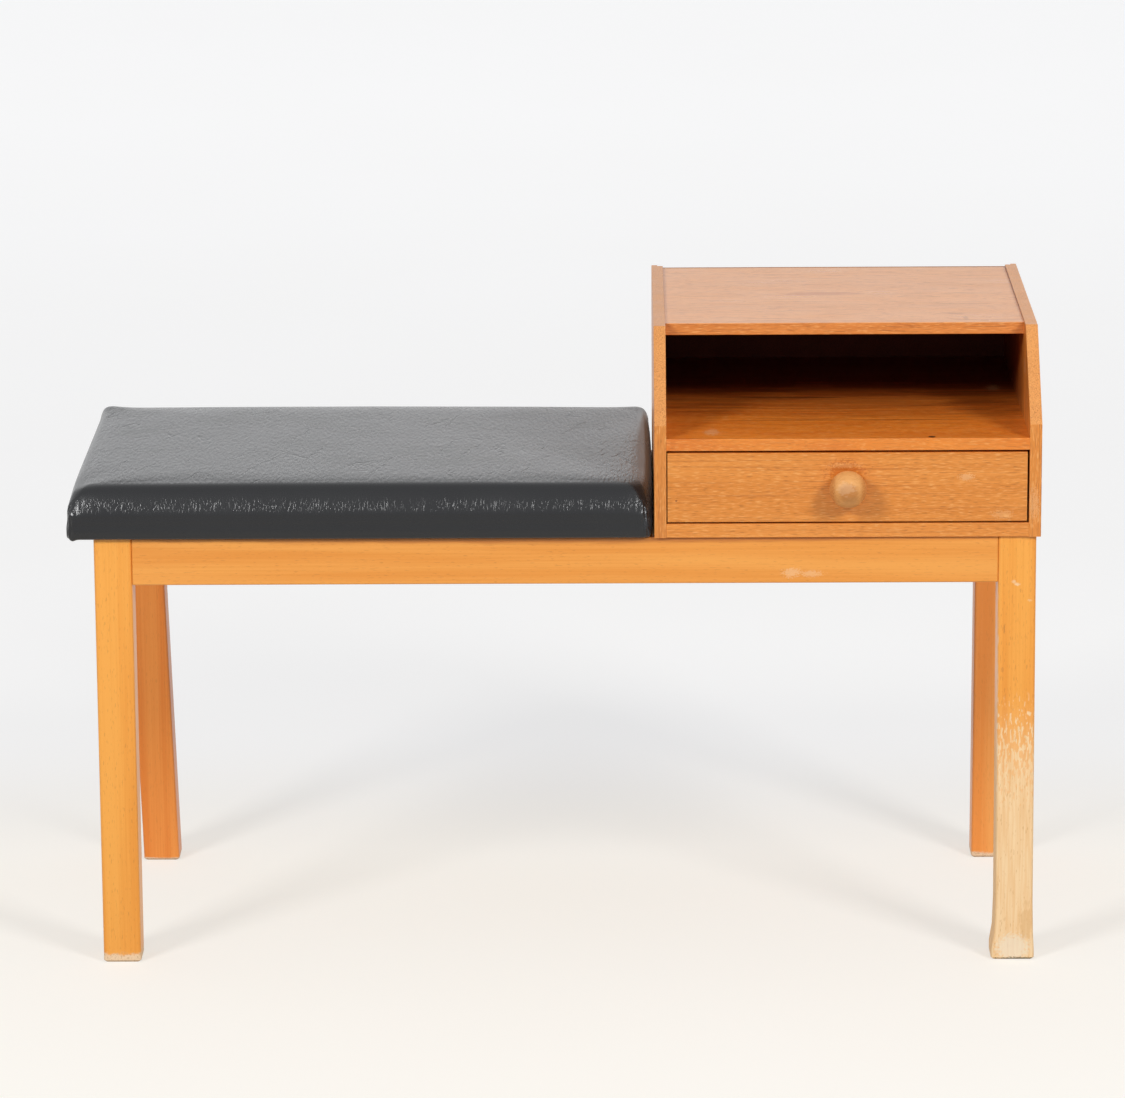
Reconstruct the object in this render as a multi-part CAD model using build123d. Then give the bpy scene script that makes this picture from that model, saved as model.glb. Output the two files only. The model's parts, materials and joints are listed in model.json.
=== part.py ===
from build123d import *
import os
from math import sqrt

os.makedirs("parts", exist_ok=True)

# Telephone bench: a beech frame that carries a vinyl cushion and a teak cabinet
# with one drawer.  Sizes are in millimetres.  The bench stands on Z = 0, its
# front looks along -Y, and X = 0, Y = 0 is the middle of its whole box.

# ---- Frame: solid beech --------------------------------------------------------
leg_span = 930.0            # outside of the left legs to outside of the right legs
frame_depth = 396.0         # front of the front legs to back of the rear legs
frame_height = 436.5        # floor to the top of the rails
leg_width = 37.5
leg_depth = 38.0
leg_rounding = 2.8
foot_chamfer = 2.0
rear_left_toe_in = 12.5     # how far the foot stands in from the top of its leg
rear_right_toe_in = 1.0
front_right_splay = 1.2     # how far the foot stands out from the top of its leg
rail_height = 47.0
rail_thickness = 22.0
rail_rounding = 1.5
rail_end_chamfer = 0.9
tenon_length = 18.0
tenon_thickness = 8.0
tenon_shoulder = 6.0        # rail's edges to its tenon
tenon_clearance = 0.1
mortise_room = 0.6          # free length past the end of a tenon
cross_rail_width = 70.0
cross_rail_thickness = 20.0
housing_depth = 8.0         # how far the cross rail is let into the long rails
block_wing = 65.0           # corner block along each rail
block_height = 22.0
block_gap = 0.5             # corner block to the inner corner of its leg

# The front right foot has taken up water and swollen: height above the floor,
# growth to the left and growth to the right.
foot_swelling = ((10.0, 3.8, 1.7), (28.0, 1.0, 0.7), (58.0, 0.0, 0.0))

# ---- Cushion: vinyl over foam on a plywood board --------------------------------
seat_overhang = 25.0        # cushion past the left legs
seat_gap = 4.0              # cushion to cabinet
seat_proud = 2.0            # fullest part of the cushion past the cabinet's front
seat_back_gap = 1.0         # fullest part of the cushion to the cabinet's back line
seat_thickness = 51.5       # rail to the upper edge of the cushion
seat_crown = 3.0            # rise of the middle above the upper edge
seat_draw = 2.0             # how far the long sides pull in between the corners
seat_tuck = 3.0             # how far the sides pull in towards the board
seat_edge_round = 14.0      # rounding of the upper edges
seat_corner_round = 9.0     # rounding of the upright corners
seat_board_thickness = 12.0
vinyl_thickness = 1.2
vinyl_lip = 34.0            # vinyl turned in under the board
soft_clearance = 0.3        # vinyl, foam and board to each other

# ---- Cabinet: teak veneered panels ----------------------------------------------
cabinet_overhang = 4.0      # cabinet past the right legs and past the frame's front
cabinet_back_overhang = 2.0
cabinet_width = 380.5
cabinet_height = 197.0
panel_thickness = 12.0
bottom_thickness = 14.0
kink_height = 113.0         # where the sides' front edge starts to slope back
slope_run = 80.0            # how far the slope goes back up to the top
top_drop = 2.5              # top board below the upper edges of the sides
top_setback = 25.0          # top board behind the upper end of the slope
board_recess = 0.5          # shelf and bottom board behind the sides' front
panel_rounding = 0.8
drawer_opening = 73.4       # bottom board to shelf
back_thickness = 4.0
back_rebate = 4.5
back_rebate_width = 6.0
back_clearance = 0.3

# ---- Drawer: veneered front, beech box, hardboard bottom ------------------------
drawer_gap_left = 1.0
drawer_gap_right = 2.0
drawer_gap_top = 2.2
drawer_gap_bottom = 1.7
drawer_run_clearance = 0.3  # drawer sides to the board they run on
drawer_front_thickness = 14.0
drawer_side_thickness = 9.0
drawer_headroom = 11.1      # drawer sides to the shelf above them
drawer_back_thickness = 9.0
drawer_back_drop = 4.0      # drawer back below the upper edge of its sides
drawer_rear_overhang = 8.0  # drawer sides past the drawer back
dado_depth = 3.0
tail_count = 3
tail_length = 9.5
tail_end_width = 14.0
tail_root_width = 10.5
drawer_bottom_thickness = 3.2
drawer_bottom_height = 7.0  # lower edge of the drawer sides to the groove
groove_depth = 4.0
groove_clearance = 0.1
stop_gap = 0.5              # drawer sides to the stops behind them
stop_width = 34.0
stop_height = 12.0
stop_depth = 12.5

# ---- Knob: turned beech ---------------------------------------------------------
knob_diameter = 36.5
knob_projection = 34.0
knob_neck_radius = 10.2
knob_rise = 1.5             # knob above the middle of the drawer front
knob_screw_length = 30.0
knob_screw_radius = 2.0

# ---- Dowels and screws ------------------------------------------------------------
dowel_radius = 3.0
dowel_side_depth = 8.0
dowel_board_depth = 16.0
dowel_edge = 60.0           # first and last dowel to the ends of the joint
dowel_end_room = 0.6        # free length at each end of a dowel's bore
fit_clearance = 0.05        # on the radius of dowels and screws
screw_radius = 2.0
screw_head_radius = 4.0
screw_grip = 8.5            # how far a fixing screw reaches into its board
slot_width = 1.0
slot_depth = 0.8
block_screw_length = 42.0   # through a corner block into its leg
block_screw_recess = 1.0
fixing_along = 40.0         # upright screw in a corner block, along the long rail
fixing_across = 16.0

# ---- Lines that the pieces share ------------------------------------------------
cabinet_depth = cabinet_overhang + frame_depth + cabinet_back_overhang
overall_length = seat_overhang + leg_span + cabinet_overhang
overall_depth = cabinet_depth + knob_projection - board_recess

cabinet_right = overall_length / 2
cabinet_left = cabinet_right - cabinet_width
cabinet_back = overall_depth / 2
cabinet_front = cabinet_back - cabinet_depth
leg_left = -overall_length / 2 + seat_overhang
leg_right = leg_left + leg_span
frame_front = cabinet_front + cabinet_overhang
frame_back = frame_front + frame_depth
rail_bottom = frame_height - rail_height
cross_rail_middle = cabinet_left + panel_thickness / 2

seat_left = -overall_length / 2
seat_right = cabinet_left - seat_gap
seat_front = cabinet_front - seat_proud
seat_back = cabinet_back - seat_back_gap
board_underside = frame_height + vinyl_thickness

inner_left = cabinet_left + panel_thickness
inner_right = cabinet_right - panel_thickness
cabinet_top_z = frame_height + cabinet_height
bottom_top = frame_height + bottom_thickness
shelf_bottom = bottom_top + drawer_opening
shelf_top = shelf_bottom + panel_thickness
top_board_top = cabinet_top_z - top_drop
top_board_bottom = top_board_top - panel_thickness
top_board_front = cabinet_front + slope_run + top_setback
board_front = cabinet_front + board_recess
rebate_front = cabinet_back - back_rebate

drawer_left = inner_left + drawer_gap_left
drawer_right = inner_right - drawer_gap_right
drawer_front_back = board_front + drawer_front_thickness
drawer_rear = rebate_front - stop_depth - stop_gap
drawer_side_bottom = bottom_top + drawer_run_clearance
drawer_side_top = shelf_bottom - drawer_headroom
drawer_front_low = bottom_top + drawer_gap_bottom
drawer_front_high = shelf_bottom - drawer_gap_top
drawer_panel_low = drawer_side_bottom + drawer_bottom_height
drawer_panel_high = drawer_panel_low + drawer_bottom_thickness
drawer_back_rear = drawer_rear - drawer_rear_overhang
drawer_back_front = drawer_back_rear - drawer_back_thickness
knob_x = (drawer_left + drawer_right) / 2
knob_z = (drawer_front_low + drawer_front_high) / 2 + knob_rise


# ---- Shapes used more than once -------------------------------------------------
def block(x, y, z):
    """Box between a low and a high value on each axis."""
    solid = Box(x[1] - x[0], y[1] - y[0], z[1] - z[0], align=Align.MIN)
    return Pos(x[0], y[0], z[0]) * solid


def eased(solid, axis, radius, side=None):
    """Round the edges along an axis: all four, or the two that lie furthest to a side."""
    edges = solid.edges().filter_by(axis)
    if side is not None:
        edges = edges.sort_by(side)[:2]
    return fillet(edges, radius)


def turned(profile, start, direction):
    """Turn (radius, distance) points about the line from start along a direction."""
    points = [(radius, 0, distance) for radius, distance in profile]
    outline = make_face(Polyline(*points, close=True))
    return Plane(origin=start, z_dir=direction).location * revolve(outline, Axis.Z)


def rod(start, direction, length, radius):
    """Round bar from start along a direction."""
    profile = ((0, 0), (radius, 0), (radius, length), (0, length))
    return turned(profile, start, direction)


def screw(fixing):
    """Slotted countersunk screw: (middle of the head, direction, length)."""
    head, direction, length = fixing
    sink = screw_head_radius - screw_radius
    profile = (
        (0, 0),
        (screw_head_radius, 0),
        (screw_radius, sink),
        (screw_radius, length),
        (0, length),
    )
    slot = Box(3 * screw_head_radius, slot_width, 2 * slot_depth)
    place = Plane(origin=head, z_dir=direction).location
    return turned(profile, head, direction) - place * slot


def screw_bore(fixing, pocket=2.0):
    """Bore that holds a screw, with a pocket in front of its head."""
    head, direction, length = fixing
    grown_head = screw_head_radius + fit_clearance
    grown = screw_radius + fit_clearance
    sink = grown_head - grown
    profile = (
        (0, -pocket),
        (grown_head, -pocket),
        (grown_head, 0),
        (grown, sink),
        (grown, length + dowel_end_room),
        (0, length + dowel_end_room),
    )
    return turned(profile, head, direction)


def cut(piece, tools):
    """Take away every tool whose box meets the piece."""
    room = piece.bounding_box()
    meeting = [tool for tool in tools if room.overlaps(tool.bounding_box())]
    return piece - meeting if meeting else piece


# ---- Where the frame is screwed ---------------------------------------------------
def corners():
    """Inner corner of the rails at each leg, with the way inwards along X and Y."""
    left = leg_left + rail_thickness
    right = leg_right - rail_thickness
    front = frame_front + rail_thickness
    back = frame_back - rail_thickness
    return {
        "front_left": (left, front, 1, 1),
        "front_right": (right, front, -1, 1),
        "rear_left": (left, back, 1, -1),
        "rear_right": (right, back, -1, -1),
    }


def block_screws():
    """One level screw through each corner block into the corner of its leg."""
    z = frame_height - block_height / 2
    along = block_wing / 2 - block_screw_recess * sqrt(0.5)
    fixings = []
    for x, y, to_x, to_y in corners().values():
        head = (x + to_x * along, y + to_y * along, z)
        fixings.append((head, (-to_x, -to_y, 0), block_screw_length))
    return fixings


def upright_screws(side, board_bottom):
    """Screws up through the corner blocks of one side into the board above them."""
    head_z = frame_height - block_height
    length = board_bottom + screw_grip - head_z
    fixings = []
    for name, (x, y, to_x, to_y) in corners().items():
        if name.endswith(side):
            head = (x + to_x * fixing_along, y + to_y * fixing_across, head_z)
            fixings.append((head, (0, 0, 1), length))
    return fixings


def cross_rail_screws(x, board_bottom):
    """Two screws up through the cross rail into the board above it."""
    head_z = frame_height - cross_rail_thickness
    length = board_bottom + screw_grip - head_z
    spread = frame_depth / 4
    middle = (frame_front + frame_back) / 2
    return [((x, middle + way * spread, head_z), (0, 0, 1), length) for way in (-1, 1)]


def seat_fixings():
    """Screws that hold the cushion down."""
    x = (cross_rail_middle - cross_rail_width / 2 + seat_right) / 2
    from_blocks = upright_screws("left", board_underside)
    return from_blocks + cross_rail_screws(x, board_underside)


def cabinet_fixings():
    """Screws that hold the cabinet down."""
    x = (inner_left + cross_rail_middle + cross_rail_width / 2) / 2
    from_blocks = upright_screws("right", frame_height)
    return from_blocks + cross_rail_screws(x, frame_height)


# ---- Frame ------------------------------------------------------------------------
def leg(x_low, y_low, toe_in=0.0, swelling=()):
    """Square leg.  It is upright beside the rails and leans below them by toe_in."""

    def section(z, inset=0.0, left=0.0, right=0.0):
        lean = toe_in * max(0.0, 1 - z / rail_bottom)
        width = leg_width + left + right - 2 * inset
        depth = leg_depth - 2 * inset
        x = x_low + (leg_width + right - left) / 2 + lean
        y = y_low + leg_depth / 2
        return Pos(x, y, z) * RectangleRounded(width, depth, leg_rounding)

    foot_left, foot_right = swelling[0][1:] if swelling else (0.0, 0.0)
    sections = [
        section(0, foot_chamfer, foot_left, foot_right),
        section(foot_chamfer, 0, foot_left, foot_right),
    ]
    sections += [section(z, 0, left, right) for z, left, right in swelling]
    sections += [section(rail_bottom), section(frame_height)]
    return loft(sections, ruled=True)


def legs(bores):
    """The four legs, each with the mortises of its two rails and its screw hole."""
    left = leg_left
    right = leg_right - leg_width
    front = frame_front
    back = frame_back - leg_depth
    mortises = long_rail_tenons(front, tenon_clearance, mortise_room)
    mortises += long_rail_tenons(frame_back - rail_thickness, tenon_clearance, mortise_room)
    mortises += end_rail_tenons(left, tenon_clearance, mortise_room)
    mortises += end_rail_tenons(leg_right - rail_thickness, tenon_clearance, mortise_room)
    solids = {
        "leg_front_left": leg(left, front),
        "leg_front_right": leg(right, front, front_right_splay, foot_swelling),
        "leg_rear_left": leg(left, back, toe_in=rear_left_toe_in),
        "leg_rear_right": leg(right, back, toe_in=-rear_right_toe_in),
    }
    return {name: cut(solid, mortises + bores) for name, solid in solids.items()}


def tenon_spans(low, grown):
    """Thickness and height of a tenon on a rail that starts at low."""
    middle = low + rail_thickness / 2
    half = tenon_thickness / 2 + grown
    z = (rail_bottom + tenon_shoulder - grown, frame_height - tenon_shoulder + grown)
    return (middle - half, middle + half), z


def long_rail_tenons(y_low, grown=0.0, room=0.0):
    """Tenons of the front or rear rail, or grown, their mortises."""
    y, z = tenon_spans(y_low, grown)
    left = leg_left + leg_width
    right = leg_right - leg_width
    reach = tenon_length + room
    return [block((left - reach, left), y, z), block((right, right + reach), y, z)]


def end_rail_tenons(x_low, grown=0.0, room=0.0):
    """Tenons of the left or right rail, or grown, their mortises."""
    x, z = tenon_spans(x_low, grown)
    front = frame_front + leg_depth
    back = frame_back - leg_depth
    reach = tenon_length + room
    return [block(x, (front - reach, front), z), block(x, (back, back + reach), z)]


def long_rail(y_low, outer):
    """Front or rear rail: tenons, a housing for the cross rail and eased outer edges."""
    x = (leg_left + leg_width, leg_right - leg_width)
    rail = block(x, (y_low, y_low + rail_thickness), (rail_bottom, frame_height))
    rail = eased(rail, Axis.X, rail_rounding, outer)
    rail = chamfer(rail.edges().filter_by(Axis.Z).sort_by(outer)[:2], rail_end_chamfer)
    return rail + long_rail_tenons(y_low) - cross_rail_blank(tenon_clearance)


def end_rail(x_low, outer):
    """Left or right rail: tenons and eased outer edges."""
    y = (frame_front + leg_depth, frame_back - leg_depth)
    rail = block((x_low, x_low + rail_thickness), y, (rail_bottom, frame_height))
    rail = eased(rail, Axis.Y, rail_rounding, outer)
    rail = chamfer(rail.edges().filter_by(Axis.Z).sort_by(outer)[:2], rail_end_chamfer)
    return rail + end_rail_tenons(x_low)


def cross_rail_blank(grown=0.0):
    """Flat rail under the place where cushion and cabinet meet."""
    half = cross_rail_width / 2 + grown
    inside = rail_thickness - housing_depth - grown
    x = (cross_rail_middle - half, cross_rail_middle + half)
    y = (frame_front + inside, frame_back - inside)
    return block(x, y, (frame_height - cross_rail_thickness - grown, frame_height + grown))


def rails(bores):
    """The five rails, with the bores of their screws."""
    rear = frame_back - rail_thickness
    right = leg_right - rail_thickness
    solids = {
        "front_rail": long_rail(frame_front, Axis.Y),
        "rear_rail": long_rail(rear, -Axis.Y),
        "left_end_rail": end_rail(leg_left, Axis.X),
        "right_end_rail": end_rail(right, -Axis.X),
        "cross_rail": eased(cross_rail_blank(), Axis.Y, rail_rounding, Axis.Z),
    }
    return {name: cut(solid, bores) for name, solid in solids.items()}


def corner_block(x, y, to_x, to_y):
    """Three-cornered block in the angle of two rails, notched round the leg."""
    notch_x = leg_width - rail_thickness + block_gap
    notch_y = leg_depth - rail_thickness + block_gap
    outline = (
        (notch_x, 0),
        (block_wing, 0),
        (0, block_wing),
        (0, notch_y),
        (notch_x, notch_y),
    )
    points = [(x + to_x * along, y + to_y * across) for along, across in outline]
    face = make_face(Polyline(*points, close=True))
    bottom = frame_height - block_height
    return extrude(Pos(0, 0, bottom) * face, amount=block_height, dir=(0, 0, 1))


def corner_blocks(bores):
    """One block in each corner of the frame."""
    return {
        f"corner_block_{name}": cut(corner_block(*place), bores)
        for name, place in corners().items()
    }


# ---- Cushion ----------------------------------------------------------------------
def cushion(inset, floor):
    """Crowned cushion, drawn in by inset all round, that stands on the height floor."""
    length = seat_right - seat_left - 2 * inset
    middle_x = (seat_left + seat_right) / 2
    middle_y = (seat_front + seat_back) / 2
    half_depth = (seat_back - seat_front) / 2 - inset
    edge = seat_edge_round - inset
    corner = seat_corner_round - inset
    upper = frame_height + seat_thickness - inset

    def drop(radius, distance):
        """How far a rounding of this radius falls away at a distance from the end."""
        short = max(0.0, radius - distance)
        return radius - sqrt(radius**2 - short**2)

    def section(distance):
        """Upright section across the cushion at a distance from its left end."""
        from_end = min(distance, length - distance)
        swell = 1 - (2 * distance / length - 1) ** 2
        half = half_depth - drop(corner, from_end) - seat_draw * swell
        high = upper - drop(edge, from_end)
        shoulder = high - edge
        flat = half - seat_tuck / 3 - edge
        diagonal = edge * sqrt(0.5)
        belly = (floor + shoulder) / 2
        low_back, low_front = (half - seat_tuck, floor), (seat_tuck - half, floor)
        wall_back, wall_front = (half - seat_tuck / 3, shoulder), (seat_tuck / 3 - half, shoulder)
        round_back = (flat + diagonal, shoulder + diagonal)
        round_front = (-flat - diagonal, shoulder + diagonal)
        outline = Curve() + [
            Line(low_front, low_back),
            ThreePointArc(low_back, (half, belly), wall_back),
            ThreePointArc(wall_back, round_back, (flat, high)),
            ThreePointArc((flat, high), (0, high + seat_crown * (0.4 + 0.6 * swell)), (-flat, high)),
            ThreePointArc((-flat, high), round_front, wall_front),
            ThreePointArc(wall_front, (-half, belly), low_front),
        ]
        plane = Plane(
            origin=(middle_x - length / 2 + distance, middle_y, 0),
            x_dir=(0, 1, 0),
            z_dir=(1, 0, 0),
        )
        return plane * make_face(outline)

    near = [edge * share for share in (0.0, 0.08, 0.35, 1.0)]
    stations = near + [length * share for share in (0.2, 0.5, 0.8)]
    stations += [length - distance for distance in reversed(near)]
    return loft([section(distance) for distance in stations], ruled=True)


def seat_board(tools):
    """Plywood board with rounded corners."""
    side = vinyl_thickness + soft_clearance
    length = seat_right - seat_left - 2 * side
    depth = seat_back - seat_front - 2 * (side + seat_tuck + seat_draw)
    outline = RectangleRounded(length, depth, seat_corner_round)
    middle = ((seat_left + seat_right) / 2, (seat_front + seat_back) / 2, board_underside)
    board = extrude(Pos(*middle) * outline, amount=seat_board_thickness)
    return cut(board, tools)


def seat_cover(tools):
    """Vinyl skin round the cushion, turned in under the board."""
    skin = cushion(0.0, frame_height) - cushion(vinyl_thickness, board_underside)
    x = (seat_left + vinyl_lip, seat_right - vinyl_lip)
    y = (seat_front + vinyl_lip, seat_back - vinyl_lip)
    window = block(x, y, (frame_height - 1, board_underside + 1))
    return cut(skin - window, tools)


def seat_foam():
    """Foam pad between the board and the vinyl."""
    floor = board_underside + seat_board_thickness + soft_clearance
    pad = cushion(vinyl_thickness + soft_clearance, board_underside)
    x = (seat_left - 1, seat_right + 1)
    y = (seat_front - 1, seat_back + 1)
    return pad - block(x, y, (frame_height - 1, floor))


def cushion_pieces():
    """Board, foam, vinyl and fixing screws of the cushion."""
    holes = [screw_bore(fixing) for fixing in seat_fixings()]
    return {
        "seat_board": seat_board(holes),
        "seat_foam": seat_foam(),
        "seat_cover": seat_cover(holes),
        "seat_screws": Compound([screw(fixing) for fixing in seat_fixings()]),
    }


# ---- Cabinet ----------------------------------------------------------------------
def board_dowels(z, y_low, y_high, bore):
    """Two dowels, or their bores, at each end of a cabinet board."""
    room = dowel_end_room if bore else 0.0
    radius = dowel_radius + (fit_clearance if bore else 0.0)
    behind = dowel_side_depth - dowel_end_room + room
    length = dowel_side_depth + dowel_board_depth - 2 * (dowel_end_room - room)
    rods = []
    for y in (y_low + dowel_edge, y_high - dowel_edge):
        rods.append(rod((inner_left - behind, y, z), (1, 0, 0), length, radius))
        rods.append(rod((inner_right + behind, y, z), (-1, 0, 0), length, radius))
    return rods


def cabinet_dowels(bore=False):
    """The dowels of the top, shelf and bottom boards, or their bores."""
    half = panel_thickness / 2
    middle = frame_height + bottom_thickness / 2
    top = board_dowels(top_board_top - half, top_board_front, rebate_front, bore)
    shelf = board_dowels(shelf_top - half, board_front, rebate_front, bore)
    return top + shelf + board_dowels(middle, board_front, rebate_front, bore)


def cabinet_side(x_outer, inwards, bores):
    """Side panel with a sloped front corner and a rebate for the back panel."""
    outline = (
        (cabinet_front, frame_height),
        (cabinet_front, frame_height + kink_height),
        (cabinet_front + slope_run, cabinet_top_z),
        (cabinet_back, cabinet_top_z),
        (cabinet_back, frame_height),
    )
    face = make_face(Polyline(*[(x_outer, y, z) for y, z in outline], close=True))
    side = extrude(face, amount=panel_thickness, dir=(inwards, 0, 0))
    rims = [edge for edge in side.edges() if abs(edge.tangent_at(0.5).X) < 0.5]
    side = fillet(rims, panel_rounding)
    inner = x_outer + inwards * panel_thickness
    x = sorted((inner - inwards * back_rebate_width, inner + inwards))
    rebate = block(x, (rebate_front, cabinet_back + 1), (frame_height - 1, cabinet_top_z + 1))
    return cut(side - rebate, bores)


def cabinet_board(y_low, z_low, thickness, bores):
    """Board between the two sides, with an eased front edge."""
    board = block((inner_left, inner_right), (y_low, rebate_front), (z_low, z_low + thickness))
    return cut(eased(board, Axis.X, panel_rounding, Axis.Y), bores)


def cabinet_back_panel():
    """Thin panel that lies in the rebates behind the boards."""
    reach = back_rebate_width - back_clearance
    x = (inner_left - reach, inner_right + reach)
    y = (rebate_front, rebate_front + back_thickness)
    z = (frame_height + back_clearance, top_board_top)
    return block(x, y, z)


def drawer_stops():
    """Blocks on the bottom board, behind the two drawer sides."""
    y = (drawer_rear + stop_gap, rebate_front)
    z = (bottom_top, bottom_top + stop_height)
    left = block((drawer_left, drawer_left + stop_width), y, z)
    right = block((drawer_right - stop_width, drawer_right), y, z)
    return Compound([left, right])


def cabinet_pieces():
    """Panels, boards, dowels, stops and fixing screws of the cabinet."""
    bores = cabinet_dowels(bore=True)
    bores += [screw_bore(fixing) for fixing in cabinet_fixings()]
    return {
        "cabinet_left_side": cabinet_side(cabinet_left, 1, bores),
        "cabinet_right_side": cabinet_side(cabinet_right, -1, bores),
        "cabinet_top": cabinet_board(top_board_front, top_board_bottom, panel_thickness, bores),
        "cabinet_shelf": cabinet_board(board_front, shelf_bottom, panel_thickness, bores),
        "cabinet_bottom": cabinet_board(board_front, frame_height, bottom_thickness, bores),
        "cabinet_back": cabinet_back_panel(),
        "cabinet_dowels": Compound(cabinet_dowels()),
        "cabinet_screws": Compound([screw(fixing) for fixing in cabinet_fixings()]),
        "drawer_stops": drawer_stops(),
    }


# ---- Drawer -----------------------------------------------------------------------
def tails(x_low, grown=0.0):
    """Dovetails at the front end of a drawer side, in the half-blind joint."""
    pitch = (drawer_side_top - drawer_side_bottom) / tail_count
    solids = []
    for index in range(tail_count):
        z = drawer_side_bottom + (index + 0.5) * pitch
        root, end = tail_root_width / 2, tail_end_width / 2
        y_root, y_end = drawer_front_back, drawer_front_back - tail_length
        points = ((y_root, z - root), (y_end, z - end), (y_end, z + end), (y_root, z + root))
        wire = Polyline(*[(x_low, y, z_) for y, z_ in points], close=True)
        tail = extrude(make_face(wire), amount=drawer_side_thickness, dir=(1, 0, 0))
        if grown:
            tail = offset(tail, amount=grown, kind=Kind.INTERSECTION)
        solids.append(tail)
    return solids


def bottom_groove():
    """Space that the drawer bottom takes up in the sides and the front."""
    reach = groove_depth + groove_clearance
    x = (drawer_left + drawer_side_thickness - reach, drawer_right - drawer_side_thickness + reach)
    y = (drawer_front_back - reach, drawer_rear + 1)
    z = (drawer_panel_low - groove_clearance, drawer_panel_high + groove_clearance)
    return block(x, y, z)


def drawer_side(x_low, inwards):
    """Drawer side with its dovetails, bottom groove and dado for the back."""
    x = (x_low, x_low + drawer_side_thickness)
    z = (drawer_side_bottom, drawer_side_top)
    side = block(x, (drawer_front_back, drawer_rear), z)
    side = eased(side, Axis.Y, panel_rounding)
    for tail in tails(x_low):
        side = side + tail
    inner = x[1] if inwards > 0 else x[0]
    reach = dado_depth + groove_clearance
    dado_x = sorted((inner - inwards * reach, inner + inwards))
    dado_y = (drawer_back_front - groove_clearance, drawer_back_rear + groove_clearance)
    dado = block(dado_x, dado_y, (drawer_panel_low, z[1] + 1))
    return side - dado - bottom_groove()


def drawer_front(bores):
    """Drawer front with blind sockets, bottom groove and knob hole."""
    x = (drawer_left, drawer_right)
    front = block(x, (board_front, drawer_front_back), (drawer_front_low, drawer_front_high))
    front = eased(front, Axis.X, panel_rounding, Axis.Y)
    right_side = drawer_right - drawer_side_thickness
    sockets = tails(drawer_left, groove_clearance) + tails(right_side, groove_clearance)
    return cut(front, sockets + [bottom_groove()] + bores)


def drawer_back():
    """Drawer back, let into the sides above the bottom."""
    left = drawer_left + drawer_side_thickness - dado_depth
    right = drawer_right - drawer_side_thickness + dado_depth
    high = drawer_side_top - drawer_back_drop
    return block((left, right), (drawer_back_front, drawer_back_rear), (drawer_panel_high, high))


def drawer_bottom():
    """Hardboard panel in the grooves of the sides and the front."""
    left = drawer_left + drawer_side_thickness - groove_depth
    right = drawer_right - drawer_side_thickness + groove_depth
    y = (drawer_front_back - groove_depth, drawer_back_rear)
    return block((left, right), y, (drawer_panel_low, drawer_panel_high))


def knob():
    """Turned ball knob on a short neck, bored for its screw."""
    radius = knob_diameter / 2
    centre = knob_projection - radius
    meeting = (knob_neck_radius, 0, centre - sqrt(radius**2 - knob_neck_radius**2))
    pole = (0, 0, knob_projection)
    outline = Curve() + [
        Polyline(pole, (0, 0, 0), (knob_neck_radius, 0, 0), meeting),
        ThreePointArc(meeting, (radius, 0, centre), pole),
    ]
    ball = revolve(make_face(outline), Axis.Z)
    place = Plane(origin=(knob_x, board_front, knob_z), z_dir=(0, -1, 0)).location
    return cut(place * ball, [knob_screw(fit_clearance)])


def knob_screw(grown=0.0):
    """Round headed screw from inside the drawer into the knob."""
    shank = knob_screw_radius + grown
    head = 2 * knob_screw_radius + grown
    length = knob_screw_length + 6 * grown
    dome = head * 0.7
    profile = (
        (0, -dome / 2),
        (head * 0.6, -dome / 2),
        (head, 0),
        (shank, 0),
        (shank, length),
        (0, length),
    )
    return turned(profile, (knob_x, drawer_front_back, knob_z), (0, -1, 0))


def drawer_pieces():
    """Everything that slides with the drawer."""
    return {
        "drawer_front": drawer_front([knob_screw(fit_clearance)]),
        "drawer_left_side": drawer_side(drawer_left, 1),
        "drawer_right_side": drawer_side(drawer_right - drawer_side_thickness, -1),
        "drawer_back": drawer_back(),
        "drawer_bottom": drawer_bottom(),
        "drawer_knob": knob(),
        "knob_screw": knob_screw(),
    }


# ---- The whole bench --------------------------------------------------------------
def frame_pieces():
    """Legs, rails, corner blocks and screws of the frame."""
    upright = [screw_bore(fixing) for fixing in seat_fixings() + cabinet_fixings()]
    level = [screw_bore(fixing) for fixing in block_screws()]
    pieces = legs(level) | rails(upright) | corner_blocks(upright + level)
    pieces["corner_block_screws"] = Compound([screw(fixing) for fixing in block_screws()])
    return pieces


bench = frame_pieces() | cushion_pieces() | cabinet_pieces() | drawer_pieces()
for node, shape in bench.items():
    export_step(shape, f"parts/{node}.step")
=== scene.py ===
"""Telephone bench: finishes, upholstery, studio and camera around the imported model.

The row frame is in metres: +X runs along the bench towards the cabinet, -Y looks out
of its front and Z is up.  Sizes in fields and tables are in millimetres.  The joinery
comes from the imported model.  This script dresses it, upholsters the seat and adds
the small fasteners.
"""

from __future__ import annotations

import json
import logging
import math
from dataclasses import dataclass, field
from enum import Enum
from typing import Any

import bpy
import numpy as np
from mathutils import Matrix, Vector

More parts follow.
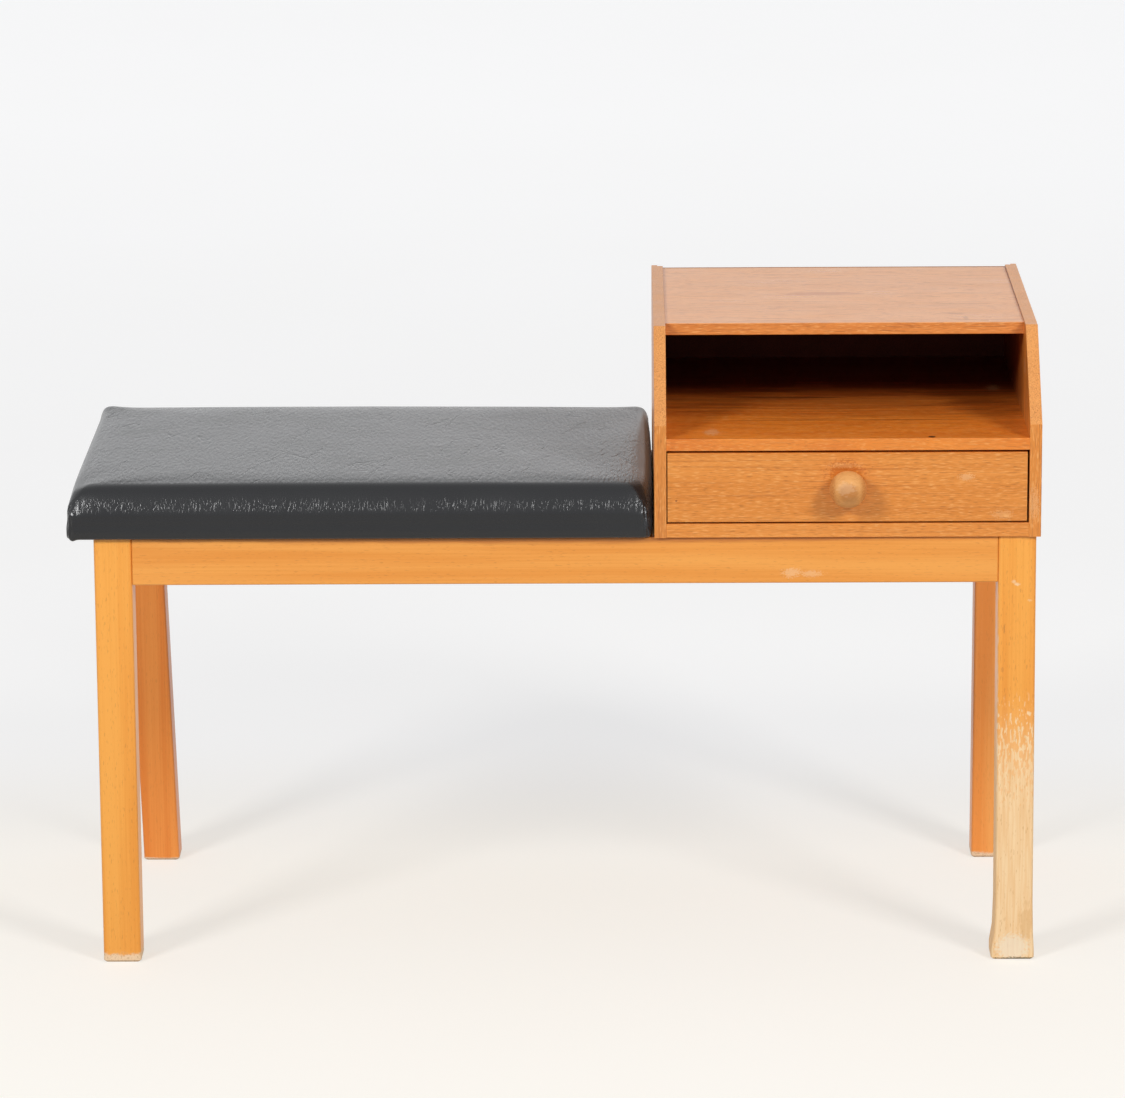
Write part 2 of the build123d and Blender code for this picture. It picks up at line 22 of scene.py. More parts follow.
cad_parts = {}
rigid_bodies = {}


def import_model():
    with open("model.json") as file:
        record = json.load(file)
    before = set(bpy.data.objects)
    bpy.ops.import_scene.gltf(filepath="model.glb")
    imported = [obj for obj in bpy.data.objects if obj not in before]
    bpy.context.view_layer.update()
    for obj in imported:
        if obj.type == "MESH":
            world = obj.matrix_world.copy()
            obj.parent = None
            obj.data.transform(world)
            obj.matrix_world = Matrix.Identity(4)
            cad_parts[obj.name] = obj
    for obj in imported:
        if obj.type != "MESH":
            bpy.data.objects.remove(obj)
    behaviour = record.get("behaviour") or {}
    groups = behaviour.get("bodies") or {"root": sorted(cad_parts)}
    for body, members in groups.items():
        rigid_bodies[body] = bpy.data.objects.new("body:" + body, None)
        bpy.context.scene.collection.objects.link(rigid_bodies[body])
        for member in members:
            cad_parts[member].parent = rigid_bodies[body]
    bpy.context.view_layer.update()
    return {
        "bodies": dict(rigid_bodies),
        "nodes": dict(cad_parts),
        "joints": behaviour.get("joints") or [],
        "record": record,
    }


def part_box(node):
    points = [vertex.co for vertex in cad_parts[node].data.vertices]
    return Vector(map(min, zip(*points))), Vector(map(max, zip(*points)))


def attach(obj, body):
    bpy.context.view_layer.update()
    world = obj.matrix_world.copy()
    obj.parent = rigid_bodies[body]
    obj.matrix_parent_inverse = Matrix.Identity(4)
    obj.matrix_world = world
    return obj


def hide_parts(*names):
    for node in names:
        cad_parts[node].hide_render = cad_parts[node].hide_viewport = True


LOG = logging.getLogger("telephone_bench")
MM = 0.001

Triple = tuple[float, float, float]
Face = tuple[int, ...]
Part = tuple[list[Vector], list[Face]]
Socket = bpy.types.NodeSocket

# A noise lies between about 0.2 and 0.8.  Between these values one colour turns
# into the other, half of the surface each.
HALVES = (0.35, 0.65)
# How squarely a face cuts the fibres where it starts, and where it fully counts, as
# end grain.
END_GRAIN = (0.6, 0.85)


# ---- Colours and nodes ---------------------------------------------------------


def linear(code: str) -> tuple[float, float, float, float]:
    """Turn an sRGB hex value into a linear colour.

    Args:
        code: six hex digits with a leading hash sign.

    Returns:
        Red, green, blue and an alpha of one.
    """
    channels = [int(code[i : i + 2], 16) / 255 for i in (1, 3, 5)]
    red, green, blue = (
        c / 12.92 if c <= 0.04045 else ((c + 0.055) / 1.055) ** 2.4 for c in channels
    )
    return red, green, blue, 1.0


def fill(tree: bpy.types.NodeTree, socket: Socket, value: Any) -> None:
    """Link a socket to an input, or set the input to a value or a hex colour.

    Args:
        tree: the node tree that both are in.
        socket: the input.
        value: a socket, a value or an sRGB hex value.
    """
    if isinstance(value, Socket):
        tree.links.new(value, socket)
    else:
        socket.default_value = linear(value) if isinstance(value, str) else value


def add_node(
    tree: bpy.types.NodeTree,
    kind: str,
    sockets: dict[str | int, Any] | None = None,
    out: str | int = 0,
    **settings: Any,
) -> Socket:
    """Add a shader node with its settings, values and links.

    Args:
        tree: the node tree that gets the node.
        kind: the node's type name, without the ShaderNode in front.
        sockets: input names or numbers, each with what fill() takes.
        out: the name or number of an output.
        **settings: attributes of the node.

    Returns:
        The output.
    """
    node = tree.nodes.new("ShaderNode" + kind)
    for name, value in settings.items():
        setattr(node, name, value)
    for key, value in (sockets or {}).items():
        fill(tree, node.inputs[key], value)
    return node.outputs[out]


def seen_share(tree: bpy.types.NodeTree) -> Socket:
    """Give 1 for rays that show a surface as it looks, and 0 for rays that light others.

    Args:
        tree: the node tree that gets the nodes.

    Returns:
        The share: camera, glossy or transmission rays.
    """
    share: Any = 0.0
    for ray in ("Is Glossy Ray", "Is Transmission Ray", "Is Camera Ray"):
        share = add_node(
            tree, "Math", {0: add_node(tree, "LightPath", out=ray), 1: share}, operation="MAXIMUM"
        )
    return share


@dataclass
class Recipe:
    """A material being made: its node tree and the object's own place."""

    name: str
    material: bpy.types.Material = field(init=False)
    tree: bpy.types.NodeTree = field(init=False)
    place: Socket = field(init=False)

    def __post_init__(self) -> None:
        """Start the material with a Principled shader and a coordinate socket."""
        self.material = bpy.data.materials.new(self.name)
        self.material.use_nodes = True
        self.tree = self.material.node_tree
        self.place = self.add("TexCoord", out="Object")

    def add(
        self,
        kind: str,
        sockets: dict[str | int, Any] | None = None,
        out: str | int = 0,
        **settings: Any,
    ) -> Socket:
        """Add a node to the material, as add_node does."""
        return add_node(self.tree, kind, sockets, out, **settings)

    def figure(
        self,
        size: Triple,
        shift: float = 0.0,
        detail: float = 2.0,
        sway: float = 0.0,
        sway_size: float = 120.0,
    ) -> Socket:
        """Draw an uneven figure whose lumps have a real size.

        Args:
            size: length of a lump along X, Y and Z in millimetres.
            shift: moves the figure to another part of the noise.
            detail: octaves of finer noise.
            sway: how far slow waves push the figure about, in millimetres.
            sway_size: length of those waves in millimetres.

        Returns:
            A value from about 0.2 to 0.8.
        """
        place = self.place
        if sway:
            waves = {"Vector": place, "Scale": 1 / (sway_size * MM), "Detail": 1.0}
            slow = self.add("TexNoise", waves, "Color")
            centred = self.add("VectorMath", {0: slow, 1: (0.5,) * 3}, operation="SUBTRACT")
            push = (2 * sway * MM,) * 3
            place = self.add(
                "VectorMath", {0: centred, 1: push, 2: place}, operation="MULTIPLY_ADD"
            )
        scale = [1 / (s * MM) for s in size]
        scaled = self.add("Mapping", {"Vector": place, "Location": (shift,) * 3, "Scale": scale})
        return self.add("TexNoise", {"Vector": scaled, "Scale": 1.0, "Detail": detail})

    def share(self, pattern: Any, low: float, high: float, top: Any = 1.0) -> Socket:
        """Give how much shows where a pattern runs smoothly from low to high.

        Args:
            pattern: the value that decides.
            low: where the share is 0.
            high: where the share is top.  It may be below low.
            top: the highest share, a value or another share.

        Returns:
            The share.
        """
        ends = (high, low, top, 0.0) if low > high else (low, high, 0.0, top)
        names = ("Value", "From Min", "From Max", "To Min", "To Max")
        sockets = dict(zip(names, (pattern, *ends)))
        return self.add("MapRange", sockets, interpolation_type="SMOOTHSTEP")

    def weigh(self, *parts: tuple[Any, Any], base: float = 0.0) -> Socket:
        """Add up patterns, each times its weight.

        Args:
            *parts: pairs of a pattern and its weight, which may be a pattern too.
            base: what the sum starts from.

        Returns:
            The sum.
        """
        total: Any = base
        for pattern, weight in parts:
            total = self.add("Math", {0: pattern, 1: weight, 2: total}, operation="MULTIPLY_ADD")
        return total

    def lay(self, colour: Any, *coats: tuple) -> Any:
        """Lay coats of colour over one another.

        Args:
            colour: the ground, a hex value or a socket.
            *coats: the colour of each coat and its share, or its colour, a pattern
                and that pattern's low, high and top, as share() takes them.

        Returns:
            The colour on top.
        """
        for coat, pattern, *ends in coats:
            share = self.share(pattern, *ends) if ends else pattern
            colour = self.add("Mix", {0: share, 6: colour, 7: coat}, 2, data_type="RGBA")
        return colour

    def done(self, sockets: dict[str, Any], *relief: tuple[Any, float]) -> None:
        """Fill the shader's inputs and raise the surface.

        Args:
            sockets: input names, each with what fill() takes.
            *relief: heights from 0 to 1 with their depth in millimetres, the coarsest
                first.
        """
        for height, depth in relief:
            below = {"Normal": sockets["Normal"]} if "Normal" in sockets else {}
            bump = {"Height": height, "Distance": depth * MM, **below}
            sockets["Normal"] = self.add("Bump", bump)
        for name, value in sockets.items():
            fill(self.tree, self.tree.nodes["Principled BSDF"].inputs[name], value)


@dataclass(frozen=True)
class Mark:
    """A stain, scuff or chip, or a patch of painted light or shade, at one place on a surface.

    Its place and reach are in the row frame.  Its edge is broken up by a noise with
    lumps of the given size.
    """

    place: Triple
    reach: Triple
    colour: str
    share: float = 0.6
    lump: Triple = (2.0, 2.0, 2.0)
    ragged: float = 0.9
    core: float = 0.55

    def coat(self, recipe: Recipe) -> tuple[str, Socket]:
        """Give the mark as a coat for Recipe.lay().

        Args:
            recipe: the material being made.

        Returns:
            The mark's colour and share.
        """
        spot = {
            "Vector": recipe.place,
            "Location": [v * MM for v in self.place],
            "Scale": [v * MM for v in self.reach],
        }
        near = recipe.add("Mapping", spot, vector_type="TEXTURE")
        far = recipe.add("VectorMath", {0: near}, "Value", operation="LENGTH")
        noise = recipe.figure(self.lump, self.place[0], 3.0)
        torn = recipe.weigh((noise, self.ragged), (far, 1.0))
        mean = self.ragged / 2
        return self.colour, recipe.share(torn, 1.0 + mean, self.core + mean, self.share)


class Grain(Enum):
    """The axis that a piece's wood fibres run along, or that plies are stacked on."""

    X = 0
    Y = 1
    Z = 2

    def facing(self, recipe: Recipe) -> Socket:
        """Give how squarely each face looks along the axis.

        Args:
            recipe: the material being made.

        Returns:
            A value from 0 to 1.
        """
        normal = recipe.add("NewGeometry", out="True Normal")
        along = recipe.add("SeparateXYZ", {0: normal}, self.value)
        return recipe.add("Math", {0: along}, operation="ABSOLUTE")


# ---- Finishes ------------------------------------------------------------------


@dataclass(frozen=True)
class Finish:
    """What all finishes share: a name and the making of the material."""

    name: str

    def paint(self, recipe: Recipe) -> None:
        """Add the finish's nodes to the recipe."""
        raise NotImplementedError

    def build(self) -> bpy.types.Material:
        """Make the material.

        Returns:
            The material.
        """
        recipe = Recipe(self.name)
        self.paint(recipe)
        return recipe.material


@dataclass(frozen=True)
class Wood(Finish):
    """What all woods share: figures that run along the grain, and end grain."""

    grain: Grain
    shift: float = 0.0
    light: str = "#E6C193"
    dark: str = "#D2A673"

    def along(
        self,
        recipe: Recipe,
        width: float,
        length: float,
        shift: float = 0.0,
        detail: float = 2.0,
        sway: float = 0.0,
    ) -> Socket:
        """Draw a figure that is long along the grain.

        Args:
            recipe: the material being made.
            width: across the grain in millimetres.
            length: along the grain in millimetres.
            shift: moves the figure, besides the piece's own shift.
            detail: octaves of finer noise.
            sway: how far slow waves push the figure about, in millimetres.

        Returns:
            A value from about 0.2 to 0.8.
        """
        x, y, z = (length if axis is self.grain else width for axis in Grain)
        return recipe.figure((x, y, z), self.shift + shift, detail, sway)

    def ends(self, recipe: Recipe, colour: Any, ray: str, lump: float, top: float) -> Socket:
        """Lay speckled end grain over a colour, where a face cuts across the fibres.

        Args:
            recipe: the material being made.
            colour: the wood's colour.
            ray: the speckles' colour.
            lump: their size in millimetres.
            top: the highest share of end grain.

        Returns:
            The colour.
        """
        cut = recipe.lay(self.dark, (ray, recipe.figure((lump,) * 3, self.shift), *HALVES))
        return recipe.lay(colour, (cut, self.grain.facing(recipe), *END_GRAIN, top))


@dataclass(frozen=True)
class HoneyBeech(Wood):
    """Solid beech, planed smooth and sprayed with a clear lacquer, aged to honey.

    The wood is plain and even.  Short darker flecks and faint long streaks show
    through a satin film.  Where the film has worn off, the bare wood is pale.
    """

    light: str = "#FAAD4B"
    dark: str = "#F09A38"
    fleck: str = "#B86A2A"
    fleck_share: float = 0.3
    roughness: float = 0.36
    marks: tuple[Mark, ...] = ()
    bare_above: float = 0.0
    bare_below: float = 0.0
    foot_band: float = 0.0

    def lacquered(self, recipe: Recipe) -> Socket:
        """Give the colour of the lacquered wood.

        Args:
            recipe: the material being made.

        Returns:
            The colour.
        """
        broad = self.along(recipe, 18.0, 500.0, 0.0, 1.0)
        fine = self.along(recipe, 1.8, 160.0, 3.0, 3.0)
        # Beech flecks are 0.3 mm wide.  They are drawn at 0.9 mm, so that they show.
        flecks = self.along(recipe, 0.9, 6.0, 7.0, 0.0)
        wood = recipe.lay(
            self.light,
            (self.dark, recipe.weigh((broad, 0.6), (fine, 0.4)), *HALVES),
            (self.fleck, flecks, 0.66, 0.8, self.fleck_share),
        )
        return self.ends(recipe, wood, self.fleck, 1.4, 0.7)

    def flaked(self, recipe: Recipe, colour: Any) -> tuple[Socket, Socket]:
        """Flake the lacquer off, in islands above bare_below and wholly below it.

        Args:
            recipe: the material being made.
            colour: the lacquered colour.

        Returns:
            The colour and the share of bare wood.
        """
        # Flaking follows the fibres: islands about 2 mm wide and 9 mm long.
        flakes = recipe.share(recipe.figure((2.2, 2.2, 9.0), self.shift), 0.34, 0.66)
        fall = {
            "Value": recipe.add("SeparateXYZ", {0: recipe.place}, "Z"),
            "From Min": self.bare_below * MM,
            "From Max": self.bare_above * MM,
            "To Min": -0.1,
            "To Max": 1.1,
        }
        kept = recipe.add("MapRange", fall)
        islands = recipe.share(recipe.weigh((kept, -1.0), (flakes, 1.0)), -0.1, 0.1)
        thin = recipe.share(kept, 1.1, 0.0, 0.75)
        bare = recipe.add("Math", {0: islands, 1: thin}, operation="MAXIMUM")
        streaks = recipe.figure((3.0, 3.0, 60.0), self.shift + 5.0, 3.0)
        ticks = recipe.figure((1.3, 1.3, 7.0), self.shift + 9.0, 1.0)
        raw = recipe.lay(
            "#FDDAA9", ("#F5C890", streaks, 0.3, 0.7), ("#CF9452", ticks, 0.64, 0.76, 0.45)
        )
        return recipe.lay(colour, (raw, bare)), bare

    def chafed(self, recipe: Recipe, colour: Any) -> tuple[Socket, Socket]:
        """Chafe the lacquer off in a ragged band at the foot.

        Args:
            recipe: the material being made.
            colour: the lacquered colour.

        Returns:
            The colour and the share of bare wood.
        """
        height = recipe.add("SeparateXYZ", {0: recipe.place}, "Z")
        ragged = recipe.figure((6.0, 6.0, 5.0), self.shift + 2.0, 3.0)
        line = recipe.weigh((ragged, self.foot_band * MM), (height, 1.0))
        band = recipe.share(line, self.foot_band * 1.7 * MM, self.foot_band * 1.25 * MM)
        specks = recipe.figure((1.8, 1.8, 1.8), self.shift + 4.0, 3.0)
        pale = recipe.lay("#F3DCBB", ("#A98A62", specks, 0.5, 0.7, 0.6))
        return recipe.lay(colour, (pale, recipe.weigh((band, 0.8)))), band

    def paint(self, recipe: Recipe) -> None:
        """Add the nodes: wood, worn places, marks, and a satin film with low ridges.

        Args:
            recipe: the material being made.
        """
        colour: Any = self.lacquered(recipe)
        worn = []
        if self.bare_above:
            colour, *worn = self.flaked(recipe, colour)
        if self.foot_band:
            colour, *worn = self.chafed(recipe, colour)
        colour = recipe.lay(colour, *(mark.coat(recipe) for mark in self.marks))
        sheen = self.along(recipe, 30.0, 90.0, 6.0)
        matt = [(share, 0.35) for share in worn]
        roughness = recipe.weigh((sheen, 0.12), *matt, base=self.roughness - 0.06)
        ridges = self.along(recipe, 1.4, 60.0)
        recipe.done({"Base Color": colour, "Roughness": roughness}, (ridges, 0.06))


@dataclass(frozen=True)
class TeakVeneer(Wood):
    """Sliced teak veneer on board, sanded and sprayed with a satin lacquer.

    Narrow growth lines, short dark pores and pale flecks run along an even orange
    brown.  Faces that look into the compartment get painted shade, a deep red brown
    that sets in towards the back, and faces that look upwards get painted light.
    """

    light: str = "#E79240"
    dark: str = "#D67F2C"
    line: str = "#A85A1E"
    line_share: float = 0.42
    pore: str = "#8A4716"
    pore_share: float = 0.42
    fleck: str = "#F7B86E"
    fleck_share: float = 0.5
    # Painted shade: faces that look into the compartment darken to this colour towards the back.
    painted_shade: str = "#702A0C"
    painted_shade_side: Triple = (0.0, 0.0, 0.0)
    painted_shade_from: float = -160.0
    painted_shade_to: float = 40.0
    painted_shade_streak: float = 260.0
    # Painted light: faces that look upwards are paler, as the light falls on them.
    painted_top_light: str = ""
    sway: float = 0.0
    roughness: float = 0.34
    marks: tuple[Mark, ...] = ()

    def painted_shade_coat(self, recipe: Recipe) -> tuple[Any, ...]:
        """Give the painted shade as a coat on the faces that look into the compartment.

        It darkens them towards the back, in streaks along the grain.

        Args:
            recipe: the material being made.

        Returns:
            A coat for Recipe.lay().
        """
        normal = recipe.add("NewGeometry", out="True Normal")
        facing = recipe.add(
            "VectorMath", {0: normal, 1: self.painted_shade_side}, "Value", operation="DOT_PRODUCT"
        )
        streak = self.painted_shade_streak * MM
        streaks = self.along(recipe, 7.0, 240.0, 2.0, 2.0, self.sway)
        depth = recipe.add("SeparateXYZ", {0: recipe.place}, "Y")
        pushed = recipe.weigh((streaks, streak), (depth, 1.0), base=-streak / 2)
        inward = recipe.share(pushed, self.painted_shade_from * MM, self.painted_shade_to * MM, 0.92)
        return self.painted_shade, facing, 0.7, 0.9, inward

    def paint(self, recipe: Recipe) -> None:
        """Add the nodes: veneer, ageing, marks, and a satin film that sinks in pores.

        Args:
            recipe: the material being made.
        """
        broad = self.along(recipe, 26.0, 700.0, 0.0, 1.0, self.sway)
        veins = self.along(recipe, 3.2, 380.0, 5.0, 3.0, self.sway)
        growth = self.along(recipe, 1.3, 150.0, 8.0, 3.0, self.sway)
        # Teak pores are 0.2 mm wide and are drawn at 0.9 mm, so that they show.
        pores = self.along(recipe, 0.9, 9.0, 9.0, 1.0, self.sway)
        tone = recipe.weigh((broad, 0.5), (veins, 0.5))
        coats: list[tuple] = [(self.dark, tone, 0.34, 0.66)]
        # Painted light on the faces that look upwards.
        if self.painted_top_light:
            normal = recipe.add("NewGeometry", out="True Normal")
            upward = recipe.add("SeparateXYZ", {0: normal}, "Z")
            coats.append((self.painted_top_light, upward, 0.3, 0.6, 0.55))
        coats += [
            (self.line, growth, 0.52, 0.72, self.line_share),
            (self.pore, pores, 0.55, 0.74, self.pore_share),
            (self.fleck, pores, 0.45, 0.28, self.fleck_share),
        ]
        # Painted shade on the faces that look into the compartment.
        if any(self.painted_shade_side):
            coats.append(self.painted_shade_coat(recipe))
        coats += [mark.coat(recipe) for mark in self.marks]
        sheen = self.along(recipe, 24.0, 80.0, 6.0)
        roughness = recipe.weigh((sheen, 0.14), base=self.roughness - 0.07)
        colour = recipe.lay(self.light, *coats)
        recipe.done({"Base Color": colour, "Roughness": roughness}, (pores, 0.08))


@dataclass(frozen=True)
class BareBeech(Wood):
    """Sawn and sanded beech without a finish, as used inside furniture.

    It is pale, dry and matt, with the saw's faint marks across it.
    """

    roughness: float = 0.62

    def paint(self, recipe: Recipe) -> None:
        """Add the nodes: streaked, flecked wood with end grain and a dry face.

        Args:
            recipe: the material being made.
        """
        fine = self.along(recipe, 2.6, 140.0, 0.0, 3.0)
        # The flecks are 0.3 mm wide and are drawn at 0.9 mm here too.
        flecks = self.along(recipe, 0.9, 6.0, 7.0, 0.0)
        colour = recipe.lay(
            self.light, (self.dark, fine, 0.36, 0.64), ("#A8763F", flecks, 0.64, 0.8, 0.4)
        )
        colour = self.ends(recipe, colour, "#B98B5A", 1.6, 0.75)
        recipe.done({"Base Color": colour, "Roughness": self.roughness}, (fine, 0.08))


@dataclass(frozen=True)
class Hardboard(Finish):
    """Oil tempered hardboard, hot pressed from wood fibres.

    The fibres leave a dark brown, mottled face that is nearly matt.
    """

    light: str = "#8A5A36"
    dark: str = "#6B4226"
    edge: str = "#A8714A"
    sawn: bool = False

    def paint(self, recipe: Recipe) -> None:
        """Add the nodes: mottled fibres, and paler edges where it is sawn.

        Args:
            recipe: the material being made.
        """
        # Fibre bundles are about 0.1 mm thick and are drawn at 1 mm.
        fibres = recipe.figure((1.0, 1.0, 1.0), 0.0, 4.0)
        clouds = recipe.figure((22.0, 22.0, 22.0), 2.0)
        tone = recipe.weigh((fibres, 0.75), (clouds, 0.25))
        colour = recipe.lay(self.light, (self.dark, tone, 0.36, 0.64))
        if self.sawn:
            colour = recipe.lay(colour, (self.edge, Grain.Z.facing(recipe), *END_GRAIN))
        sockets = {"Base Color": colour, "Roughness": 0.65, "Specular IOR Level": 0.25}
        recipe.done(sockets, (fibres, 0.05))


@dataclass(frozen=True)
class BirchPlywood(Finish):
    """Birch plywood, rotary cut and pressed, with its plies in view at the edges."""

    name: str = "birch_plywood_board"
    ply: float = 1.5

    def paint(self, recipe: Recipe) -> None:
        """Add the nodes: a broad peeled figure on the faces and plies on the edges.

        Args:
            recipe: the material being made.
        """
        peeled = recipe.figure((90.0, 9.0, 9.0), 3.0, 3.0, 12.0)
        face = recipe.lay("#E7CDA2", ("#D6B482", peeled, *HALVES))
        height = recipe.add("SeparateXYZ", {0: recipe.place}, "Z")
        turns = recipe.weigh((height, math.pi / (self.ply * MM)))
        plies = recipe.add("Math", {0: turns}, operation="SINE")
        edge = recipe.lay("#B98A55", ("#DDBE8E", plies, -0.3, 0.3))
        colour = recipe.lay(edge, (face, Grain.Z.facing(recipe), *END_GRAIN))
        recipe.done({"Base Color": colour, "Roughness": 0.6}, (peeled, 0.08))


@dataclass(frozen=True)
class LeatherGrainVinyl(Finish):
    """Black vinyl cloth, calendered and embossed with a fine leather grain.

    It has a soft sheen.  Long use has left creases on top and small upright
    wrinkles along the sides, where the foam bulges over the board.
    """

    name: str = "black_vinyl_cloth"
    colour: str = "#101114"
    faded: str = "#242526"
    roughness: float = 0.26
    dust: float = 0.3
    dust_roughness: float = 0.4
    cell: float = 1.3
    crease_size: Triple = (34.0, 180.0, 34.0)
    crease_turn: float = -16.0
    wrinkle_low: float = 458.5
    wrinkle_high: float = 481.0

    def creases(self, recipe: Recipe, flat: Socket) -> Socket:
        """Draw the fine creases on top, which run front to back for about 100 mm.

        Args:
            recipe: the material being made.
            flat: 1 on the flat top and 0 elsewhere.

        Returns:
            The share of crease.
        """
        waves = {"Vector": recipe.place, "Scale": 1 / (22 * MM), "Detail": 4.0}
        push = {0: recipe.add("TexNoise", waves, "Color"), 1: (12 * MM,) * 3, 2: recipe.place}
        cell = {
            "Vector": recipe.add("VectorMath", push, operation="MULTIPLY_ADD"),
            "Rotation": (0.0, 0.0, math.radians(self.crease_turn)),
            "Scale": [v * MM for v in self.crease_size],
        }
        tilted = recipe.add("Mapping", cell, vector_type="TEXTURE")
        edges = recipe.add(
            "TexVoronoi", {"Vector": tilted, "Scale": 1.0}, "Distance", feature="DISTANCE_TO_EDGE"
        )
        patches = recipe.figure((40.0, 60.0, 60.0), 4.0)
        return recipe.share(edges, 0.03, 0.0, recipe.share(patches, 0.5, 0.62, flat))

    def wrinkles(self, recipe: Recipe) -> Socket:
        """Draw the fine upright grooves along the sides, about 5 mm apart.

        Args:
            recipe: the material being made.

        Returns:
            The share of groove.
        """
        folds = recipe.figure((3.5, 3.5, 15.0), 6.0, 1.0, 3.0, 16.0)
        off = recipe.add("Math", {0: recipe.weigh((folds, 1.0), base=-0.5)}, operation="ABSOLUTE")
        patches = recipe.share(recipe.figure((26.0, 26.0, 26.0), 11.0), 0.2, 0.46, 0.7)
        crumple = recipe.figure((2.2, 2.2, 4.0), 16.0, 1.0)
        grooves = recipe.weigh((crumple, 0.35), (recipe.share(off, 0.11, 0.0, patches), 1.0))
        height = recipe.add("SeparateXYZ", {0: recipe.place}, "Z")
        middle = (self.wrinkle_low + self.wrinkle_high) / 2 * MM
        below = recipe.share(height, self.wrinkle_low * MM, middle)
        return recipe.weigh((grooves, recipe.share(height, self.wrinkle_high * MM, middle, below)))

    def paint(self, recipe: Recipe) -> None:
        """Add the nodes: rubbed black cloth with its grain, creases and wrinkles.

        Args:
            recipe: the material being made.
        """
        # The cells of the leather grain are about 1.3 mm wide, as on the real cloth.
        grain = {"Vector": recipe.place, "Scale": 1 / (self.cell * MM)}
        normal = recipe.add("NewGeometry", out="Normal")
        flat = recipe.share(recipe.add("SeparateXYZ", {0: normal}, "Z"), 0.955, 0.995)
        # Seen at a low angle the worn grain of the top reads as lumps of 3 to 11 mm.
        pebbles = recipe.figure((2.6, 11.0, 2.6), 2.0, 3.0, 2.0, 30.0)
        wear = recipe.figure((70.0, 50.0, 60.0), 8.0, 3.0)
        sockets = {
            "Base Color": recipe.lay(self.colour, (self.faded, wear, 0.3, 0.6, flat)),
            "Roughness": recipe.weigh((wear, 0.16), base=self.roughness - 0.08),
            # Fine dust in the grain greys the faces that are seen at a low angle.
            "Sheen Weight": self.dust,
            "Sheen Roughness": self.dust_roughness,
        }
        recipe.done(
            sockets,
            (recipe.weigh((pebbles, flat)), 1.4),
            (recipe.weigh((self.wrinkles(recipe), -1.0), base=1.0), 0.2),
            (recipe.weigh((self.creases(recipe, flat), -1.0), base=1.0), 0.55),
            (recipe.add("TexVoronoi", grain, "Distance"), 0.06),
        )


@dataclass(frozen=True)
class ZincedSteel(Finish):
    """Cold headed steel with a thin zinc plating that has gone dull.

    It is a grey metal with a patchy, soft sheen.
    """

    colour: str = "#B4B3AC"
    dull: str = "#8F8D86"

    def paint(self, recipe: Recipe) -> None:
        """Add the nodes: spots of duller zinc on bright zinc.

        Args:
            recipe: the material being made.
        """
        spots = recipe.figure((1.2, 1.2, 1.2), 1.0, 3.0)
        recipe.done({
            "Base Color": recipe.lay(self.colour, (self.dull, spots, 0.4, 0.7)),
            "Metallic": 1.0,
            "Roughness": recipe.weigh((spots, 0.3), base=0.25),
        })


# ---- Pieces and meshes -----------------------------------------------------------


def ramp(values: np.ndarray, start: float, end: float) -> np.ndarray:
    """Climb in a straight line from 0 at start to 1 at end, and stay level outside.

    Args:
        values: what decides.
        start: where the climb starts.
        end: where it ends.  It may be below start.

    Returns:
        A number from 0 to 1 for each value.
    """
    return np.clip((values - start) / (end - start), 0, 1)


def hump(values: np.ndarray, middle: float, reach: float) -> np.ndarray:
    """Rise to 1 in the middle and fall off smoothly to both sides.

    Args:
        values: what decides.
        middle: where the hump is highest.
        reach: how far out it has fallen to about a third.

    Returns:
        A number from 0 to 1 for each value.
    """
    return np.exp(-(((values - middle) / reach) ** 2))


def add_object(name: str, data: bpy.types.ID) -> bpy.types.Object:
    """Add an object to the scene.

    Args:
        name: the object's name.
        data: its mesh, lamp or camera.

    Returns:
        The new object.
    """
    thing = bpy.data.objects.new(name, data)
    bpy.context.scene.collection.objects.link(thing)
    return thing


def band_faces(bands: int, size: int) -> list[Face]:
    """List the quads between rings of points that follow one another.

    Args:
        bands: how many bands of quads there are, one fewer than rings.
        size: points of one ring.

    Returns:
        The faces.
    """
    return [
        (start + k, start + (k + 1) % size, start + size + (k + 1) % size, start + size + k)
        for start in range(0, bands * size, size)
        for k in range(size)
    ]


def tube(rings: list[tuple[Vector, float, Vector, Vector]], sides: int) -> Part:
    """Build a round tube with flat ends.

    Args:
        rings: centre and radius of each ring, and the two directions that it lies in.
        sides: corners of a ring.

    Returns:
        Vertices and faces.
    """
    turns = [2 * math.pi * k / sides for k in range(sides)]
    vertices = [
        centre + radius * (math.cos(turn) * aside + math.sin(turn) * up)
        for centre, radius, aside, up in rings
        for turn in turns
    ]
    last = len(vertices) - sides
    caps = [tuple(reversed(range(sides))), tuple(range(last, last + sides))]
    return vertices, band_faces(len(rings) - 1, sides) + caps


def bent_wire(path: list[Vector], radius: float, sides: int = 8) -> Part:
    """Sweep a round wire along a path, with flat ends.

    Args:
        path: the points of its centre line.
        radius: the wire's radius.
        sides: corners of its section.

    Returns:
        Vertices and faces.
    """
    rings = []
    for index, point in enumerate(path):
        before, after = path[max(index - 1, 0)], path[min(index + 1, len(path) - 1)]
        ahead = (after - before).normalized()
        aside = ahead.orthogonal().normalized()
        if abs(ahead.y) < 0.9:
            aside = Vector((0, 1, 0)).cross(ahead).normalized()
        rings.append((point, radius, aside, ahead.cross(aside)))
    return tube(rings, sides)


def pin_head(profile: list[tuple[float, float]], place: Vector, ahead: Vector) -> Part:
    """Turn the head of a pin.

    Args:
        profile: pairs of a radius and a height in millimetres.
        place: where the head sits, in metres.
        ahead: which way it looks.

    Returns:
        Vertices and faces.
    """
    aside = ahead.orthogonal().normalized()
    up = ahead.cross(aside)
    return tube([(place + rise * MM * ahead, r * MM, aside, up) for r, rise in profile], 20)


